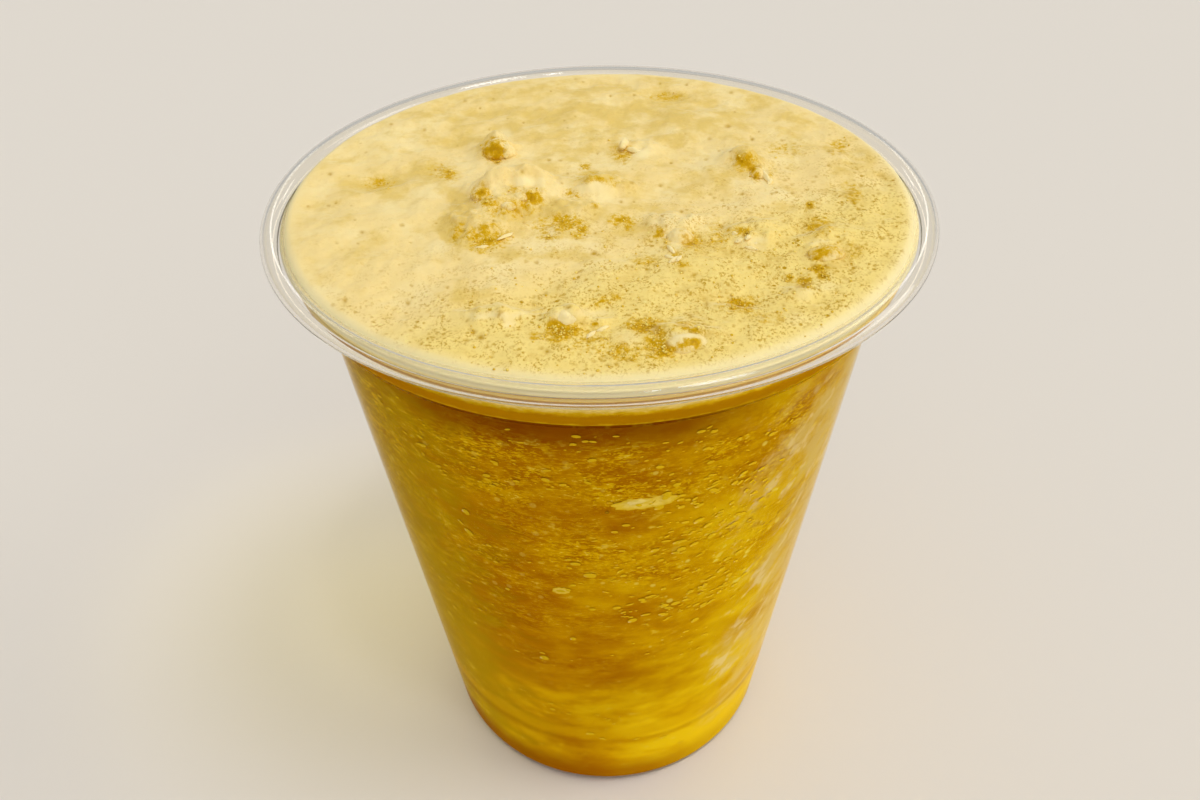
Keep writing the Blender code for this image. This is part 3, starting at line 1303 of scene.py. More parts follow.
LUMPS = (
    Spot(-12.0, -2.4, 7.2, 4.4, 12.0, 2.2),
    Spot(-16.0, -9.5, 5.4, 4.6, 50.0, 1.8),
    Spot(-11.6, 2.2, 4.4, 1.8, 6.0, 1.5),
    Spot(-17.2, -0.4, 2.0, 1.7, 0.0, 0.8),
    Spot(-16.0, 14.8, 3.0, 2.6, 0.0, 1.4),
    Spot(0.8, 0.2, 4.2, 2.2, -6.0, 1.6),
    Spot(-3.6, -7.2, 4.6, 2.2, 5.0, 1.1),
    Spot(6.4, 13.4, 3.6, 1.7, -26.0, 1.0),
    Spot(22.4, 7.4, 3.0, 2.4, -35.0, 1.6),
    Spot(25.2, 3.6, 1.0, 1.9, 0.0, 0.8),
    Spot(-4.4, -33.4, 2.4, 2.0, 0.0, 0.9),
    Spot(-12.8, -32.6, 4.8, 1.5, -3.0, 1.0),
    Spot(10.6, -37.2, 3.6, 2.0, 6.0, 0.8),
    Spot(10.6, -11.0, 4.2, 2.4, -10.0, 1.3),
    Spot(21.0, -13.5, 4.4, 2.6, 12.0, 0.9),
    Spot(30.4, -15.6, 3.4, 2.2, 20.0, 0.9),
    Spot(-33.0, 5.0, 6.0, 3.4, 20.0, -0.9),
    Spot(11.2, 34.4, 4.4, 2.4, 0.0, -0.9),
    Spot(17.4, -29.4, 3.2, 1.8, 0.0, -0.7),
    Spot(-19.5, 28.0, 5.0, 2.6, 30.0, -0.7),
)

# Wet golden patches, in pixels: partly coffee soaked into the foam, partly painted shade on the front sides of the
# lumps.
STAINS_AND_SHADE = (
    Mark(495, 150, 9, 9, 1.0),
    Mark(494, 156, 7, 5, 0.7),
    Mark(500, 141, 7, 5, 0.45),
    Mark(449, 175, 7, 6, 0.55),
    Mark(441, 170, 14, 8, 0.28),
    Mark(481, 194, 7, 8, 0.75),
    Mark(489, 203, 8, 6, 0.6),
    Mark(512, 190, 12, 5, 0.35),
    Mark(531, 198, 10, 8, 0.85),
    Mark(541, 200, 5, 3, 0.8),
    Mark(519, 206, 20, 8, 0.42),
    Mark(505, 212, 22, 8, 0.30),
    Mark(460, 230, 9, 13, 0.38, -30.0),
    Mark(455, 238, 5, 6, 0.45),
    Mark(486, 232, 20, 8, 0.42),
    Mark(488, 240, 16, 6, 0.85),
    Mark(474, 238, 6, 6, 0.7),
    Mark(480, 247, 12, 4, 0.55),
    Mark(566, 224, 16, 8, 0.55),
    Mark(580, 231, 7, 5, 0.85),
    Mark(562, 218, 12, 5, 0.45),
    Mark(549, 237, 8, 3, 0.75),
    Mark(545, 226, 18, 10, 0.25),
    Mark(623, 221, 13, 7, 0.50),
    Mark(629, 227, 6, 3, 0.55),
    Mark(595, 206, 5, 3, 0.40),
    Mark(517, 211, 3, 2, 0.8),
    Mark(597, 179, 20, 5, 0.45, 8.0),
    Mark(572, 194, 9, 5, 0.30),
    Mark(585, 167, 6, 4, 0.35),
    Mark(622, 153, 11, 8, 0.45),
    Mark(659, 233, 6, 5, 0.80),
    Mark(664, 243, 4, 5, 0.55),
    Mark(692, 242, 8, 6, 0.85),
    Mark(697, 245, 3, 3, 0.9),
    Mark(686, 236, 8, 6, 0.40),
    Mark(678, 253, 6, 4, 0.55),
    Mark(684, 265, 6, 3, 0.60),
    Mark(646, 260, 12, 5, 0.35),
    Mark(604, 301, 10, 4, 0.55),
    Mark(616, 296, 6, 3, 0.45),
    Mark(562, 331, 14, 8, 1.1),
    Mark(556, 324, 5, 5, 0.8),
    Mark(575, 326, 5, 4, 0.6),
    Mark(536, 337, 7, 5, 0.40),
    Mark(594, 325, 6, 2.5, 0.55),
    Mark(646, 326, 15, 6, 1.0),
    Mark(630, 324, 6, 3, 0.55),
    Mark(657, 332, 9, 6, 0.75),
    Mark(660, 343, 12, 8, 0.95, 25.0),
    Mark(664, 350, 10, 5, 0.90, 20.0),
    Mark(684, 327, 12, 4, 0.65),
    Mark(698, 331, 10, 3, 0.45, 15.0),
    Mark(686, 345, 11, 5, 0.62),
    Mark(694, 345, 4, 4, 0.8),
    Mark(617, 350, 14, 8, 0.50),
    Mark(621, 347, 6, 5, 0.65),
    Mark(606, 355, 8, 4, 0.45),
    Mark(590, 340, 30, 16, 0.24),
    Mark(640, 355, 34, 12, 0.26),
    Mark(739, 305, 15, 6, 0.85),
    Mark(733, 303, 7, 4, 0.6),
    Mark(748, 309, 12, 6, 0.45),
    Mark(770, 318, 20, 8, 0.22),
    Mark(745, 161, 9, 8, 0.85),
    Mark(751, 168, 6, 5, 0.65),
    Mark(757, 176, 5, 4, 0.85),
    Mark(768, 172, 8, 8, 0.25),
    Mark(784, 149, 22, 8, 0.22),
    Mark(668, 97, 16, 5, 0.38),
    Mark(838, 147, 11, 9, 0.30),
    Mark(852, 192, 8, 8, 0.40),
    Mark(854, 200, 4, 4, 0.45),
    Mark(810, 205, 4, 4, 0.75),
    Mark(815, 226, 9, 7, 0.60),
    Mark(827, 225, 8, 5, 0.35),
    Mark(740, 231, 9, 5, 0.55),
    Mark(746, 234, 3.5, 3.5, 0.9),
    Mark(738, 232, 3, 3, 0.8),
    Mark(720, 236, 14, 16, 0.25),
    Mark(825, 253, 14, 6, 0.60),
    Mark(818, 257, 6, 5, 0.5),
    Mark(818, 268, 9, 3, 0.85),
    Mark(823, 276, 5, 3, 0.9),
    Mark(804, 283, 7, 7, 0.75),
    Mark(788, 278, 5, 3, 0.70),
    Mark(855, 250, 12, 10, 0.22),
    Mark(380, 183, 15, 6, 0.40),
    Mark(374, 188, 12, 5, 0.30),
    Mark(590, 140, 120, 10, 0.06),
)

HOLES = (
    Mark(594, 253, 3.2, 2.2),
    Mark(595, 207, 2.6, 1.8, 0.7),
    Mark(518, 211, 2.6, 2.2, 0.8),
    Mark(549, 237, 2.6, 1.8, 0.8),
    Mark(474, 332, 2.4, 1.8),
    Mark(481, 337, 3.4, 2.6),
    Mark(541, 348, 1.8, 1.5),
    Mark(547, 351, 2.4, 2.0),
    Mark(569, 307, 3.0, 1.4),
    Mark(534, 304, 3.0, 1.8, 0.6),
    Mark(507, 335, 2.2, 1.4, 0.7),
    Mark(587, 339, 1.4, 1.2),
    Mark(594, 361, 1.6, 1.4),
    Mark(602, 360, 1.8, 1.4),
    Mark(608, 365, 2.4, 1.2),
    Mark(616, 364, 2.2, 1.4),
    Mark(632, 360, 1.8, 1.2),
    Mark(640, 365, 1.6, 1.4),
    Mark(592, 375, 1.8, 1.0),
    Mark(706, 304, 1.4, 2.4),
    Mark(746, 234, 2.8, 2.4),
    Mark(738, 231, 2.2, 1.8),
    Mark(810, 206, 2.6, 2.6),
    Mark(815, 266, 3.0, 1.8),
    Mark(825, 266, 2.0, 1.4),
    Mark(823, 276, 4.0, 2.4),
    Mark(804, 285, 2.4, 2.4),
    Mark(788, 278, 3.2, 1.8),
    Mark(840, 241, 2.2, 1.2),
    Mark(858, 248, 2.2, 1.6),
    Mark(853, 201, 2.4, 2.0),
    Mark(859, 209, 2.0, 1.6),
    Mark(790, 219, 2.4, 1.2, 0.6),
    Mark(875, 266, 2.0, 1.4, 0.7),
    Mark(362, 232, 2.4, 1.6, 0.7),
    Mark(402, 225, 2.4, 1.6, 0.7),
    Mark(345, 300, 2.2, 2.6, 0.8),
    Mark(408, 303, 2.0, 2.4, 0.8),
    Mark(333, 305, 2.0, 1.6, 0.6),
    Mark(728, 126, 3.0, 2.0, 0.8),
    Mark(700, 336, 1.8, 1.4),
    Mark(560, 345, 1.6, 1.2),
    Mark(570, 349, 1.4, 1.0),
    Mark(653, 365, 1.6, 1.2),
)

# Pale crests and curls, in pixels: partly the foam's own cream, partly a painted highlight on their tops.
PALE_AND_HIGHLIGHT = (
    Mark(504, 134, 7, 6, 0.7),
    Mark(527, 181, 18, 4, 0.95),
    Mark(498, 188, 10, 7, 0.55),
    Mark(540, 186, 6, 5, 0.5),
    Mark(592, 188, 15, 6, 0.95),
    Mark(602, 197, 9, 8, 0.45),
    Mark(624, 143, 5, 5, 0.9),
    Mark(642, 154, 9, 4, 1.0),
    Mark(500, 315, 32, 4, 0.9),
    Mark(508, 322, 6, 5, 0.8),
    Mark(565, 314, 11, 6, 1.0),
    Mark(590, 313, 22, 4, 0.6),
    Mark(626, 338, 14, 8, 0.35),
    Mark(654, 330, 5, 3, 0.35),
    Mark(686, 335, 19, 3, 0.75),
    Mark(672, 341, 6, 5, 0.6),
    Mark(705, 342, 4, 6, 0.5),
    Mark(672, 234, 8, 9, 0.55),
    Mark(676, 244, 6, 8, 0.6),
    Mark(765, 176, 3.5, 9, 0.8),
    Mark(753, 240, 14, 5, 0.7),
    Mark(742, 241, 5, 5, 0.5),
    Mark(752, 247, 12, 4, 0.5),
    Mark(825, 287, 12, 6, 0.35),
    Mark(806, 294, 10, 8, 0.4),
    Mark(820, 242, 14, 3, 0.5),
    Mark(400, 208, 30, 8, 0.4),
    Mark(800, 320, 20, 8, 0.3),
    Mark(470, 185, 8, 6, 0.4),
    Mark(453, 185, 7, 4, 0.4),
)

# Painted shade in the hollows and beside the lumps, with a faint darkening over the back.
SHADED_DIPS = (
    Mark(462, 205, 10, 16, 0.42, -30.0),
    Mark(450, 230, 10, 16, 0.42, -20.0),
    Mark(600, 115, 230, 40, 0.16),
    Mark(560, 255, 70, 9, 0.14),
    Mark(560, 205, 22, 20, 0.18),
    Mark(525, 212, 85, 34, 0.13),
    Mark(610, 232, 60, 18, 0.12),
    Mark(640, 195, 30, 22, 0.14),
    Mark(600, 176, 26, 6, 0.25),
    Mark(640, 130, 40, 14, 0.12),
    Mark(565, 155, 36, 16, 0.14),
    Mark(668, 98, 26, 9, 0.24),
    Mark(380, 185, 34, 12, 0.26),
    Mark(700, 240, 26, 18, 0.16),
    Mark(760, 260, 40, 10, 0.12),
    Mark(860, 170, 34, 30, 0.14),
    Mark(815, 225, 16, 14, 0.22),
    Mark(835, 262, 22, 12, 0.20),
    Mark(860, 262, 18, 10, 0.16),
    Mark(700, 180, 40, 16, 0.12),
    Mark(745, 162, 20, 14, 0.20),
    Mark(460, 130, 26, 10, 0.14),
    Mark(430, 170, 20, 10, 0.22),
    Mark(500, 300, 70, 10, 0.10),
    Mark(360, 240, 26, 10, 0.12),
    Mark(640, 290, 40, 8, 0.12),
)


@dataclass(frozen=True)
class Knob:
    """One small ball, dome or curl of foam that stands on the rest.

    Attributes:
        x: Pixel of its middle in the photograph, from the left.
        y: Pixel of its middle, from the top.
        length: Half length, in millimetres.
        depth: Half depth, in millimetres.
        height: Half height, in millimetres.
        lift: Height of its middle over the foam, in millimetres.
        turn: Degrees by which the length is turned from the X axis.
        cream: How pale it is, from 0 to 1.
        rough: Unevenness, as part of its size.
    """

    x: float
    y: float
    length: float
    depth: float
    height: float
    lift: float = 0.0
    turn: float = 0.0
    cream: float = 0.0
    rough: float = 0.12


RIDGES = (
    Knob(500, 318, 4.6, 1.3, 0.9, 0.0, -4.0),
    Knob(508, 322, 1.2, 0.9, 0.4),
    Knob(586, 316, 3.0, 1.1, 0.7, 0.0, -4.0),
    Knob(518, 186, 2.8, 1.6, 1.2, 0.0, 8.0),
    Knob(537, 185, 2.2, 1.4, 1.0, 0.0, -10.0),
    Knob(498, 189, 2.0, 1.6, 1.1),
    Knob(592, 190, 3.0, 1.7, 1.0, 0.0, -6.0),
    Knob(644, 154, 1.8, 0.9, 0.5, 0.0, -10.0),
    Knob(752, 241, 3.0, 1.2, 0.6, 0.0, 10.0),
    Knob(806, 290, 2.6, 1.6, 0.6),
)

KNOBS = (
    Knob(498, 149, 1.9, 1.7, 1.6, 0.6),
    Knob(507, 151, 1.1, 1.0, 1.1, 0.3, 0.0, 0.2),
    Knob(565, 318, 1.35, 1.1, 1.1, 0.25, 0.0, 0.65, 0.12),
    Knob(746, 164, 1.7, 1.5, 1.2, 0.1, -30.0),
    Knob(757, 173, 0.9, 1.0, 0.8, 0.2),
    Knob(765, 175, 0.35, 1.6, 0.40, 0.3, 12.0, 1.0, 0.2),
    Knob(770, 181, 0.30, 0.8, 0.30, 0.1, -20.0, 0.8, 0.2),
    Knob(624, 143, 0.55, 1.1, 0.70, 0.4, -20.0, 0.9, 0.2),
    Knob(634, 150, 1.0, 0.4, 0.40, 0.3, -35.0, 0.9, 0.2),
    Knob(505, 236, 1.0, 0.24, 0.20, 0.2, 40.0, 0.8, 0.35),
    Knob(482, 247, 0.7, 0.30, 0.22, 0.0, 20.0, 0.7, 0.35),
    Knob(591, 334, 0.65, 0.26, 0.20, 0.05, 50.0, 0.8, 0.35),
    Knob(603, 328, 0.65, 0.26, 0.20, 0.05, 35.0, 0.8, 0.35),
    Knob(686, 341, 2.4, 1.6, 0.9, -0.30, 4.0, 0.0, 0.10),
    Knob(671, 249, 0.25, 0.9, 0.25, 0.2, 20.0, 1.0, 0.2),
    Knob(674, 259, 0.8, 0.24, 0.24, 0.1, 50.0, 0.9, 0.35),
    Knob(670, 257, 0.7, 0.24, 0.22, 0.1, -35.0, 0.9, 0.35),
    Knob(679, 258, 0.6, 0.22, 0.20, 0.1, 60.0, 0.8, 0.35),
    Knob(741, 240, 0.7, 0.3, 0.28, 0.2, 25.0, 0.9, 0.35),
    Knob(748, 237, 0.6, 0.3, 0.25, 0.2, 60.0, 0.9, 0.35),
    Knob(757, 243, 0.9, 0.3, 0.26, 0.1, 15.0, 0.8, 0.35),
    Knob(751, 248, 0.7, 0.24, 0.22, 0.1, -25.0, 0.8, 0.35),
    Knob(735, 233, 0.4, 0.3, 0.25, 0.1, 0.0, 0.6, 0.3),
    Knob(482, 193, 1.3, 1.2, 0.9, 0.0, 0.0, 0.0, 0.15),
    Knob(680, 236, 1.5, 1.3, 1.0, 0.1, 0.0, 0.2, 0.12),
    Knob(826, 252, 2.0, 1.3, 0.8, 0.0, 8.0, 0.0, 0.12),
    Knob(533, 205, 0.8, 0.7, 0.6, 0.1, 0.0, 0.2, 0.2),
    Knob(508, 206, 0.9, 0.7, 0.6, 0.1, 0.0, 0.3, 0.2),
    Knob(520, 197, 0.9, 0.7, 0.6, 0.1, 0.0, 0.3, 0.2),
)


@dataclass(frozen=True)
class FoamCap:
    """The milk foam on top, level with the rim's inner edge.

    Attributes:
        bottom: Height of its underside.
        edge_depth: How far its edge lies under the rim's top.
        rings: Rings of faces on its top.
        shoulder: How far its top falls at the wall, in millimetres.
        shoulder_width: Width of that fall, in millimetres.
        pale_edge: Width of the pale border, in millimetres.
        swell: How far the middle stands over the edge, in millimetres.
        relief: Height of the rolling relief, in millimetres.
        quiet_edge: Width of the border in which the relief fades out, in millimetres.
        smooth: Fine relief on the level parts, in millimetres.
        knobbly: Fine relief that the lumps add to it, in millimetres.
        mound_size: Half length from which a knob gets a mound under it, in millimetres.
        knob_flare: How far a knob widens below.
        knob_pores: How thickly pores lie on a knob.
        pits: Number of pits, with the named holes.
        pit_reach: Distance from the axis within which the other pits lie, in millimetres.
        pit_size: Half height of the smallest of them, in pixels.
        pit_depth: Depth of a pit.
        coarse_from: Distance in front of the axis at which the pores are half as thick, in millimetres.
        coarse_lean: How far that line leans to the right.
        coarse_blend: Width over which the pores thin out, in millimetres.
        crest: Slope to the back from which a crest gets a painted highlight.
    """

    outline: CupOutline
    bottom: float
    eye: PhotoEye
    edge_depth: float = 0.45 * MM
    into_wall: float = 0.12 * MM
    rings: int = 155
    shoulder: float = 1.5
    shoulder_width: float = 1.8
    pale_edge: float = 2.8
    skirt_rings: int = 6
    swell: float = 0.5
    relief: float = 0.7
    relief_spacing: float = 9.0
    relief_offset: Vector = Vector((3.1, 7.4, 0.6))
    bend: float = 0.9
    bend_spacing: float = 2.6
    bend_offset: Vector = Vector((9.0, 5.0, 2.0))
    quiet_edge: float = 5.0
    lump_edge: float = 1.4
    smooth: float = 0.16
    knobbly: float = 0.42
    mound_size: float = 1.3
    knob_split: int = 4
    knob_flare: float = 0.45
    knob_pores: float = 0.2
    pits: int = 500
    pit_seed: int = 21
    pit_reach: float = 43.0
    pit_size: float = 0.7
    pit_depth: float = 0.12 * MM
    coarse_from: float = 17.0
    coarse_lean: float = 0.55
    coarse_blend: float = 6.0
    crest: float = 0.14

    @property
    def edge(self) -> float:
        """Height of the foam where it meets the wall."""
        return self.outline.height - self.edge_depth

    @cached_property
    def radius(self) -> float:
        """Radius of the foam's edge."""
        return self.outline.bore_radius(self.edge, -self.into_wall)

    @cached_property
    def swellings(self) -> list[Spot]:
        """All that swells the foam.

        Returns:
            The broad lumps, the ridges, and a low mound under each large knob, which joins it to the foam.
        """
        mounds = [self.swelling(ridge, ridge.height, 1.0, 1.0, 1.0) for ridge in RIDGES]
        large = [knob for knob in KNOBS if knob.length >= self.mound_size]
        return [*LUMPS, *mounds, *(self.swelling(knob, knob.lift, 1.7, 1.9, 0.55) for knob in large)]

    def swelling(self, knob: Knob, level: float, wide: float, deep: float, high: float) -> Spot:
        """Make a swelling of the foam where the photograph shows a knob or a ridge.

        Args:
            knob: The knob or ridge.
            level: Height over the foam's edge at which it is seen, in millimetres.
            wide: Length of the swelling as a part of the knob's.
            deep: The same for its depth.
            high: The same for its height.

        Returns:
            The swelling.
        """
        place = self.eye.on_level(knob.x, knob.y, self.edge + level * MM) / MM
        return Spot(place.x, place.y, wide * knob.length, deep * knob.depth, knob.turn, high * knob.height)

    def build(self) -> bpy.types.Object:
        """Shape the foam, mark its patches and dress it.

        Returns:
            The dressed piece.
        """
        shape = bmesh.new()
        self.add_disc(shape)
        top = len(shape.verts)
        self.add_skirt(shape)
        bmesh.ops.dissolve_degenerate(shape, edges=shape.edges, dist=MERGE)
        face_out(shape)
        whole = len(shape.verts)
        creams = [cream for knob in KNOBS for cream in self.add_knob(shape, knob)]
        foam = finished("foam_cap", shape, MilkFoam().make())
        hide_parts("foam")
        self.mark(foam.data, top, whole, creams)
        return foam

    def add_disc(self, shape: bmesh.types.BMesh) -> None:
        """Add a split hexagon, pushed out to a round disc and raised to the relief.

        Args:
            shape: The foam's bmesh.
        """
        half_sector = math.pi / 6.0
        bmesh.ops.create_circle(shape, cap_ends=True, cap_tris=True, segments=6, radius=1.0)
        bmesh.ops.subdivide_edges(shape, edges=shape.edges, cuts=self.rings - 1, use_grid_fill=True)
        for corner in shape.verts:
            x, y = corner.co.x, corner.co.y
            reach = math.hypot(x, y)
            if reach > 0.0:
                sector = (math.atan2(y, x) + half_sector) % (2.0 * half_sector) - half_sector
                ring = reach * math.cos(sector) / math.cos(half_sector)
                x, y = x / reach * ring * self.radius, y / reach * ring * self.radius
            corner.co = (x, y, self.height_at(x / MM, y / MM))

    def height_at(self, x: float, y: float) -> float:
        """Height of the foam's top.

        Args:
            x: Across, in millimetres.
            y: Along, in millimetres.

        Returns:
            The height in metres.
        """
        wide = self.radius / MM
        out = math.hypot(x, y) / wide
        edge = min(1.0, (1.0 - out) * wide / self.quiet_edge)
        quiet = edge * edge * (3.0 - 2.0 * edge)
        place = Vector((x, y, 0.0)) / self.relief_spacing + self.relief_offset
        rolling = self.relief * (noise.noise(place) + 0.5 * noise.noise(place * 2.1))
        warp = Vector((x, y, 4.0)) / self.bend_spacing
        bent_x = x + self.bend * noise.noise(warp)
        bent_y = y + self.bend * noise.noise(warp + self.bend_offset)
        spots = self.swellings
        lumps = sum(spot.strength * math.exp(-(spot.reach(bent_x, bent_y) ** self.lump_edge)) for spot in spots)
        knobbly = self.smooth + self.knobbly * min(1.0, max(0.0, lumps))
        fine = knobbly * noise.noise(warp * 1.7) + 0.4 * knobbly * noise.noise(warp * 4.1)
        fall = max(0.0, 1.0 - (1.0 - out) * wide / self.shoulder_width)
        total = self.swell * (1.0 - out * out) + quiet * (rolling + lumps + fine) - self.shoulder * fall * fall
        return self.edge + total * MM

    def add_skirt(self, shape: bmesh.types.BMesh) -> None:
        """Close the foam below: its side follows the wall, down to a flat bottom.

        Args:
            shape: The foam's bmesh.
        """
        border = [line for line in shape.edges if line.is_boundary]
        start = self.edge - self.shoulder * MM
        for ring in range(1, self.skirt_rings + 1):
            height = start + (self.bottom - start) * ring / self.skirt_rings
            radius = self.outline.bore_radius(height, -self.into_wall)
            made = bmesh.ops.extrude_edge_only(shape, edges=border)["geom"]
            border = [item for item in made if isinstance(item, bmesh.types.BMEdge) and item.is_boundary]
            for corner in {corner for line in border for corner in line.verts}:
                flat = Vector((corner.co.x, corner.co.y, 0.0)).normalized() * radius
                corner.co = (flat.x, flat.y, height)
        bmesh.ops.holes_fill(shape, edges=border, sides=0)

    def seen_place(self, x: float, y: float, lift: float) -> Vector:
        """Find what stands on the foam where the photograph shows a pixel.

        Args:
            x: The pixel, from the left.
            y: The pixel, from the top.
            lift: Height over the foam, in metres.

        Returns:
            The place.
        """
        place = self.eye.on_level(x, y, self.edge + lift)
        for _ in range(4):
            place = self.eye.on_level(x, y, self.height_at(place.x / MM, place.y / MM) + lift)
        return place

    def add_knob(self, shape: bmesh.types.BMesh, knob: Knob) -> list[float]:
        """Add one small ball, dome or curl.

        Args:
            shape: The foam's bmesh.
            knob: Its place and size.

        Returns:
            How pale each added corner is.
        """
        place = self.seen_place(knob.x, knob.y, knob.lift * MM)
        split = self.knob_split if knob.length > 1.0 else self.knob_split - 1
        ball = bmesh.ops.create_icosphere(shape, subdivisions=split, radius=1.0)["verts"]
        size = Vector((knob.length, knob.depth, knob.height)) * MM
        turn = Matrix.Rotation(math.radians(knob.turn), 3, "Z")
        for corner in ball:
            way = corner.co.normalized()
            dents = noise.noise(way * 1.6 + place * 900.0) + 0.5 * noise.noise(way * 4.0 + place * 700.0)
            flare = 1.0 + self.knob_flare * max(0.0, 0.45 - way.z)
            spread = Vector((way.x * flare, way.y * flare, way.z))
            corner.co = place + turn @ (spread * size) * (1.0 + knob.rough * dents)
        return [knob.cream] * len(ball)

    def mark(self, mesh: bpy.types.Mesh, top: int, whole: int, creams: list[float]) -> None:
        """Store the foam's marks: wet patches, partly painted shade on the lumps' fronts; cream, partly a painted
        highlight on crests; painted shade in hollows; and where it is coarse, pitted or hidden by the lip.

        Args:
            mesh: The foam's mesh.
            top: Number of corners of its top.
            whole: Number of corners of its cap, which the knobs follow.
            creams: How pale each corner of the knobs is.
        """
        count = len(mesh.vertices)
        places = [vertex.co.copy() for vertex in mesh.vertices]
        seen = self.eye.pixels([place + self.ragged(place) for place in places])
        tree = kdtree.KDTree(count)
        for index in [*range(top), *range(whole, count)]:
            tree.insert((*seen[index], 0.0), index)
        tree.balance()
        # Wet patches, partly painted shade on the lumps' fronts.
        wet = self.marked(tree, seen, STAINS_AND_SHADE, 0.85)
        # Pale crests, partly a painted highlight.
        cream = self.marked(tree, seen, PALE_AND_HIGHLIGHT, 1.6)
        # Painted shade in the hollows.
        dip = self.marked(tree, seen, SHADED_DIPS, 1.0)
        coarse, pit, flank = ([0.0] * count for _ in range(3))
        for index, place in enumerate(places[:top]):
            inside = (self.radius - math.hypot(place.x, place.y)) / MM
            coarse[index] = self.coarseness(place.x / MM, place.y / MM)
            # Near the wall the top blends into the side's paler colour, partly painted light.
            flank[index] = 0.75 * max(0.0, 1.0 - inside / self.shoulder_width)
            # Painted highlight on slopes that face the back.
            crest_highlight = 2.0 * (mesh.vertices[index].normal.y - self.crest)
            border = 0.9 * max(0.0, 1.0 - inside / self.pale_edge)
            cream[index] = min(1.0, max(cream[index], crest_highlight, border))
        flank[top:whole] = [1.0] * (whole - top)
        for index, pale in enumerate(creams, whole):
            cream[index] = max(pale, cream[index])
            wet[index] *= 1.0 - 0.8 * pale
            dip[index] = 0.0
            coarse[index] = self.knob_pores
        self.press_pits(mesh, places[:top], tree, pit)
        mark_corners(mesh, wet=wet, cream=cream, dip=dip, coarse=coarse, pit=pit, flank=flank)

    @staticmethod
    def ragged(place: Vector) -> Vector:
        """Find a small level shift that makes the patches' outlines uneven.

        Args:
            place: A point of the foam.

        Returns:
            The shift.
        """
        wave, ripple = place / (1.7 * MM), place / (0.7 * MM)
        along_wave, along_ripple = wave + Vector((7.0, 3.0, 5.0)), ripple + Vector((2.0, 8.0, 4.0))
        across = 0.55 * noise.noise(wave) + 0.25 * noise.noise(ripple)
        along = 0.75 * noise.noise(along_wave) + 0.35 * noise.noise(along_ripple)
        return Vector((across, along, 0.0)) * MM

    @staticmethod
    def marked(tree: kdtree.KDTree, seen: list[Point], marks: tuple[Mark, ...], edge: float) -> list[float]:
        """Spread marks over the corners that are seen in them.

        Args:
            tree: The corners by the pixels where they are seen.
            seen: Those pixels, for every corner.
            marks: The patches.
            edge: Sharpness of their edges.

        Returns:
            The strongest effect at each corner.
        """
        values = [0.0] * len(seen)
        for spot in marks:
            for _, index, _ in tree.find_range((spot.x, spot.y, 0.0), 2.4 * max(spot.wide, spot.high)):
                values[index] = max(values[index], spot.share(*seen[index], edge))
        return values

    def coarseness(self, x: float, y: float) -> float:
        """How thickly the pores lie: most at the front and right, least at the left and back."""
        front = 1.0 / (1.0 + math.exp((y + self.coarse_from - self.coarse_lean * x) / self.coarse_blend))
        return min(1.0, 0.10 + 0.95 * front)

    def press_pits(self, mesh: bpy.types.Mesh, places: list[Vector], tree: kdtree.KDTree, pit: list[float]) -> None:
        """Press the named holes and the scattered fine pits into the foam.

        Args:
            mesh: The foam's mesh.
            places: Places of its top's corners.
            tree: The corners by the pixels where they are seen.
            pit: Share of pit at each vertex, which is filled in.
        """
        draw = random.Random(self.pit_seed)
        holes = list(HOLES)
        while len(holes) < self.pits:
            x, y = (draw.uniform(-self.pit_reach, self.pit_reach) for _ in range(2))
            if math.hypot(x, y) < self.pit_reach and draw.random() < self.coarseness(x, y):
                seen_x, seen_y = self.eye.pixels([Vector((x * MM, y * MM, self.edge))])[0]
                size = self.pit_size + draw.random() ** 3
                holes.append(Mark(seen_x, seen_y, size * draw.uniform(1.0, 1.6), size, draw.uniform(0.5, 1.0)))
        for hole in holes:
            for _, index, _ in tree.find_range((hole.x, hole.y, 0.0), 3.0 * hole.wide + 2.0):
                if index < len(places):
                    x, y = self.eye.pixels([places[index]])[0]
                    share = hole.share(x, y, 1.2)
                    mesh.vertices[index].co.z -= share * self.pit_depth
                    pit[index] = max(pit[index], share)


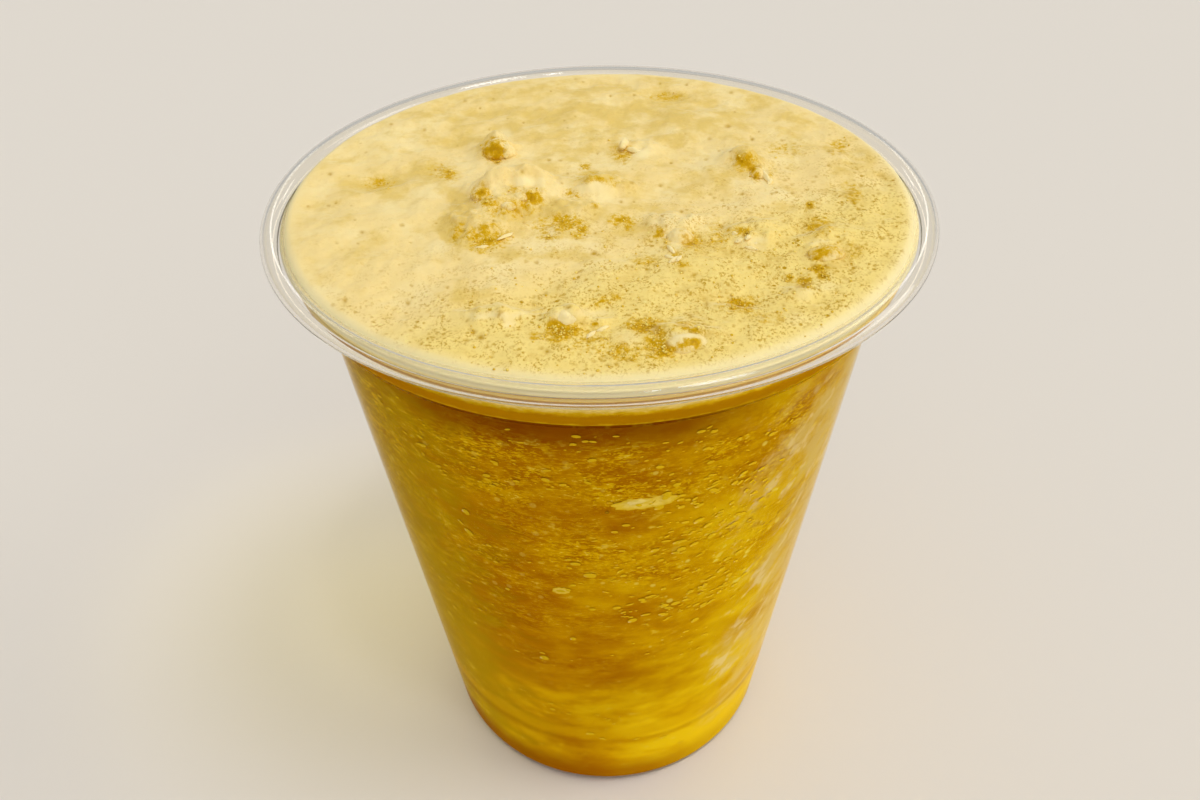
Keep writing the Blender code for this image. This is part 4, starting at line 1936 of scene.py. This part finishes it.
@dataclass(frozen=True)
class FoamBubbles:
    """Small shiny bubbles in the wet patches and, more thinly, over the front of the foam.

    Attributes:
        in_stains: Share of the bubbles that lie in the wet patches.
        across: Pixels between which the others lie, from the left.
        down: The same from the top.
        smallest: Least radius, in millimetres.
        spread: What the largest add to it, in millimetres.
        from_wall: Width of the border without bubbles, in metres.
    """

    foam: FoamCap
    count: int = 1000
    seed: int = 33
    batch: int = 200
    in_stains: float = 0.8
    across: Point = (470.0, 860.0)
    down: Point = (230.0, 375.0)
    smallest: float = 0.09
    spread: float = 0.14
    from_wall: float = 1.2 * MM

    def build(self) -> bpy.types.Object:
        """Scatter the bubbles over the foam, as one mesh.

        Returns:
            The dressed piece.
        """
        draw = random.Random(self.seed)
        whole = bmesh.new()
        pale_of: list[float] = []
        for _ in range(self.count // self.batch):
            shape = bmesh.new()
            for _ in range(self.batch):
                corners = self.add_bubble(shape, draw)
                pale_of += [draw.random() ** 1.5] * corners
            pour(shape, whole)
        bubbles = finished("foam_bubbles", whole, WetBubble().make())
        mark_corners(bubbles.data, pale=pale_of)
        return bubbles

    def add_bubble(self, shape: bmesh.types.BMesh, draw: random.Random) -> int:
        """Add one bubble, half sunk in the foam.

        Args:
            shape: The bmesh that takes it.
            draw: The seeded draw.

        Returns:
            The number of corners added.
        """
        if draw.random() < self.in_stains:
            spot = draw.choices(STAINS_AND_SHADE, weights=[mark.wide * mark.high * mark.strength**2 for mark in STAINS_AND_SHADE])[0]
            x, y = draw.gauss(spot.x, spot.wide * 0.6), draw.gauss(spot.y, spot.high * 0.6)
        else:
            x, y = draw.uniform(*self.across), draw.uniform(*self.down)
        radius = (self.smallest + self.spread * draw.random() ** 2) * MM
        place = self.foam.seen_place(x, y, 0.25 * radius)
        if math.hypot(place.x, place.y) > self.foam.radius - self.from_wall:
            return 0
        matrix = Matrix.Translation(place) @ Matrix.Diagonal((radius, radius, radius * 0.8, 1.0))
        return len(bmesh.ops.create_icosphere(shape, subdivisions=1, radius=1.0, matrix=matrix)["verts"])


@dataclass(frozen=True)
class Lamp:
    """One broad soft lamp, far away.

    Attributes:
        name: Its name.
        toward: Direction towards it.
        spread: Its width in degrees.
        power: Its strength.
        colour: Its colour.
    """

    name: str
    toward: Vector
    spread: float
    power: float
    colour: Colour = (1.0, 0.985, 0.96)


LAMPS = (
    Lamp("ceiling_right", Vector((0.40, -0.14, 1.0)), 16.0, 0.58),
    Lamp("ceiling_left", Vector((0.18, -0.32, 1.0)), 5.0, 0.15),
    Lamp("far_left", Vector((-0.25, 0.84, 0.5)), 7.0, 0.03),
    Lamp("far_right", Vector((0.25, 0.84, 0.5)), 7.0, 0.03),
    Lamp("window", Vector((1.0, 0.1, 0.45)), 40.0, 0.55, (1.0, 0.98, 0.95)),
    Lamp("room", Vector((0.30, -0.85, 0.80)), 70.0, 0.55),
)


@dataclass(frozen=True)
class Studio:
    """Pale table, soft light and the camera at the photograph's angle.

    Attributes:
        sensor: Width of the camera's sensor in millimetres.
        nearest: Distance from which the camera sees.
        sky: Brightness of the room at parts of the way from level to straight up.
        sky_tint: Colour of that light.
        glow_power: Strength of the warm pool on the table.
        glow_width: Its width in degrees.
        glow_from: Where its lamp stands.
        glow_at: Its middle on the table.
    """

    eye: PhotoEye
    sensor: float = 36.0
    nearest: float = 10.0 * MM
    table_size: float = 3.0
    sky: tuple[Point, ...] = ((0.0, 0.46), (0.22, 0.50), (0.75, 0.565))
    sky_tint: Colour = (1.0, 0.99, 0.96)
    glow_power: float = 4.2
    glow_width: float = 10.5
    glow_source: float = 40.0 * MM
    glow_colour: Colour = (0.96, 0.83, 0.08)
    glow_from: Vector = Vector((-0.30, 0.04, 0.42))
    glow_at: Vector = Vector((-0.047, 0.018, 0.0))

    def build(self) -> None:
        """Set the table, the lights, the camera and the way colours are shown."""
        self.table()
        self.room()
        for lamp in LAMPS:
            self.shine(lamp)
        self.glow()
        self.camera()
        scene = bpy.context.scene
        scene.view_settings.view_transform = "Standard"
        scene.view_settings.look = "None"

    def table(self) -> None:
        """Lay the plain table under the cup."""
        shape = bmesh.new()
        bmesh.ops.create_grid(shape, x_segments=1, y_segments=1, size=self.table_size / 2.0)
        table = placed("pale_table", shape, PaleTable().make())

    def room(self) -> None:
        """Fill the room with even light, a little brighter from above."""
        world = bpy.data.worlds.new("soft_room")
        bpy.context.scene.world = world
        world.use_nodes = True
        nodes, links = world.node_tree.nodes, world.node_tree.links
        ahead = nodes.new("ShaderNodeTexCoord").outputs["Generated"]
        split = nodes.new("ShaderNodeSeparateXYZ")
        ramp = nodes.new("ShaderNodeValToRGB")
        marks = ramp.color_ramp.elements
        marks.new(0.5)
        for mark, (place, bright) in zip(marks, self.sky):
            mark.position = place
            mark.color = (*(bright * part for part in self.sky_tint), 1.0)
        links.new(ahead, split.inputs["Vector"])
        links.new(split.outputs["Z"], ramp.inputs["Fac"])
        links.new(ramp.outputs["Color"], nodes["Background"].inputs["Color"])

    def shine(self, lamp: Lamp) -> None:
        """Light one of the far lamps.

        Args:
            lamp: The lamp.
        """
        light = bpy.data.lights.new(lamp.name, "SUN")
        light.angle = math.radians(lamp.spread)
        light.energy = lamp.power
        light.color = lamp.colour
        self.hang(light, Vector(), -lamp.toward)

    def glow(self) -> None:
        """Throw a faint warm pool on the table at the left, as light that has passed through the drink does."""
        light = bpy.data.lights.new("glow", "SPOT")
        light.energy = self.glow_power
        light.color = self.glow_colour
        light.spot_size = math.radians(self.glow_width)
        light.spot_blend = 1.0
        light.shadow_soft_size = self.glow_source
        self.hang(light, self.glow_from, self.glow_at - self.glow_from)

    @staticmethod
    def hang(light: bpy.types.Light, place: Vector, way: Vector) -> None:
        """Hang a light in the scene.

        Args:
            light: The light.
            place: Where it hangs.
            way: Where it shines.
        """
        item = bpy.data.objects.new(light.name, light)
        item.location = place
        item.rotation_euler = way.to_track_quat("-Z", "Y").to_euler()
        bpy.context.scene.collection.objects.link(item)

    def camera(self) -> None:
        """Place the camera where the photograph was taken from."""
        lens = bpy.data.cameras.new("photo_camera")
        lens.sensor_width = self.sensor
        lens.lens = self.eye.focal_pixels / self.eye.photo_width * self.sensor
        lens.clip_start = self.nearest
        right, up, ahead = self.eye.axes()
        turn = Matrix((right, up, -ahead)).transposed()
        camera = bpy.data.objects.new("photo_camera", lens)
        camera.matrix_world = Matrix.Translation(self.eye.place()) @ turn.to_4x4()
        bpy.context.scene.collection.objects.link(camera)
        bpy.context.scene.camera = camera


def main() -> None:
    """Build the cup and what it holds, then the stage."""
    logging.basicConfig(level=logging.INFO, format="%(message)s")
    cup_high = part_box("cup")[1]
    foam_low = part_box("foam")[0]
    outline = CupOutline(rim_radius=cup_high.x, height=cup_high.z)
    eye = PhotoEye()
    foam = FoamCap(outline, bottom=foam_low.z, eye=eye)
    pieces = [
        ClearCup(outline).build(),
        CoffeeFill(outline, top=foam_low.z).build(),
        IceFlecks(outline).build(),
        foam.build(),
        FoamBubbles(foam).build(),
    ]
    for piece in pieces:
        LOG.info("%s: %d faces", piece.name, len(piece.data.polygons))
    Studio(eye).build()


if __name__ == "__main__":
    main()
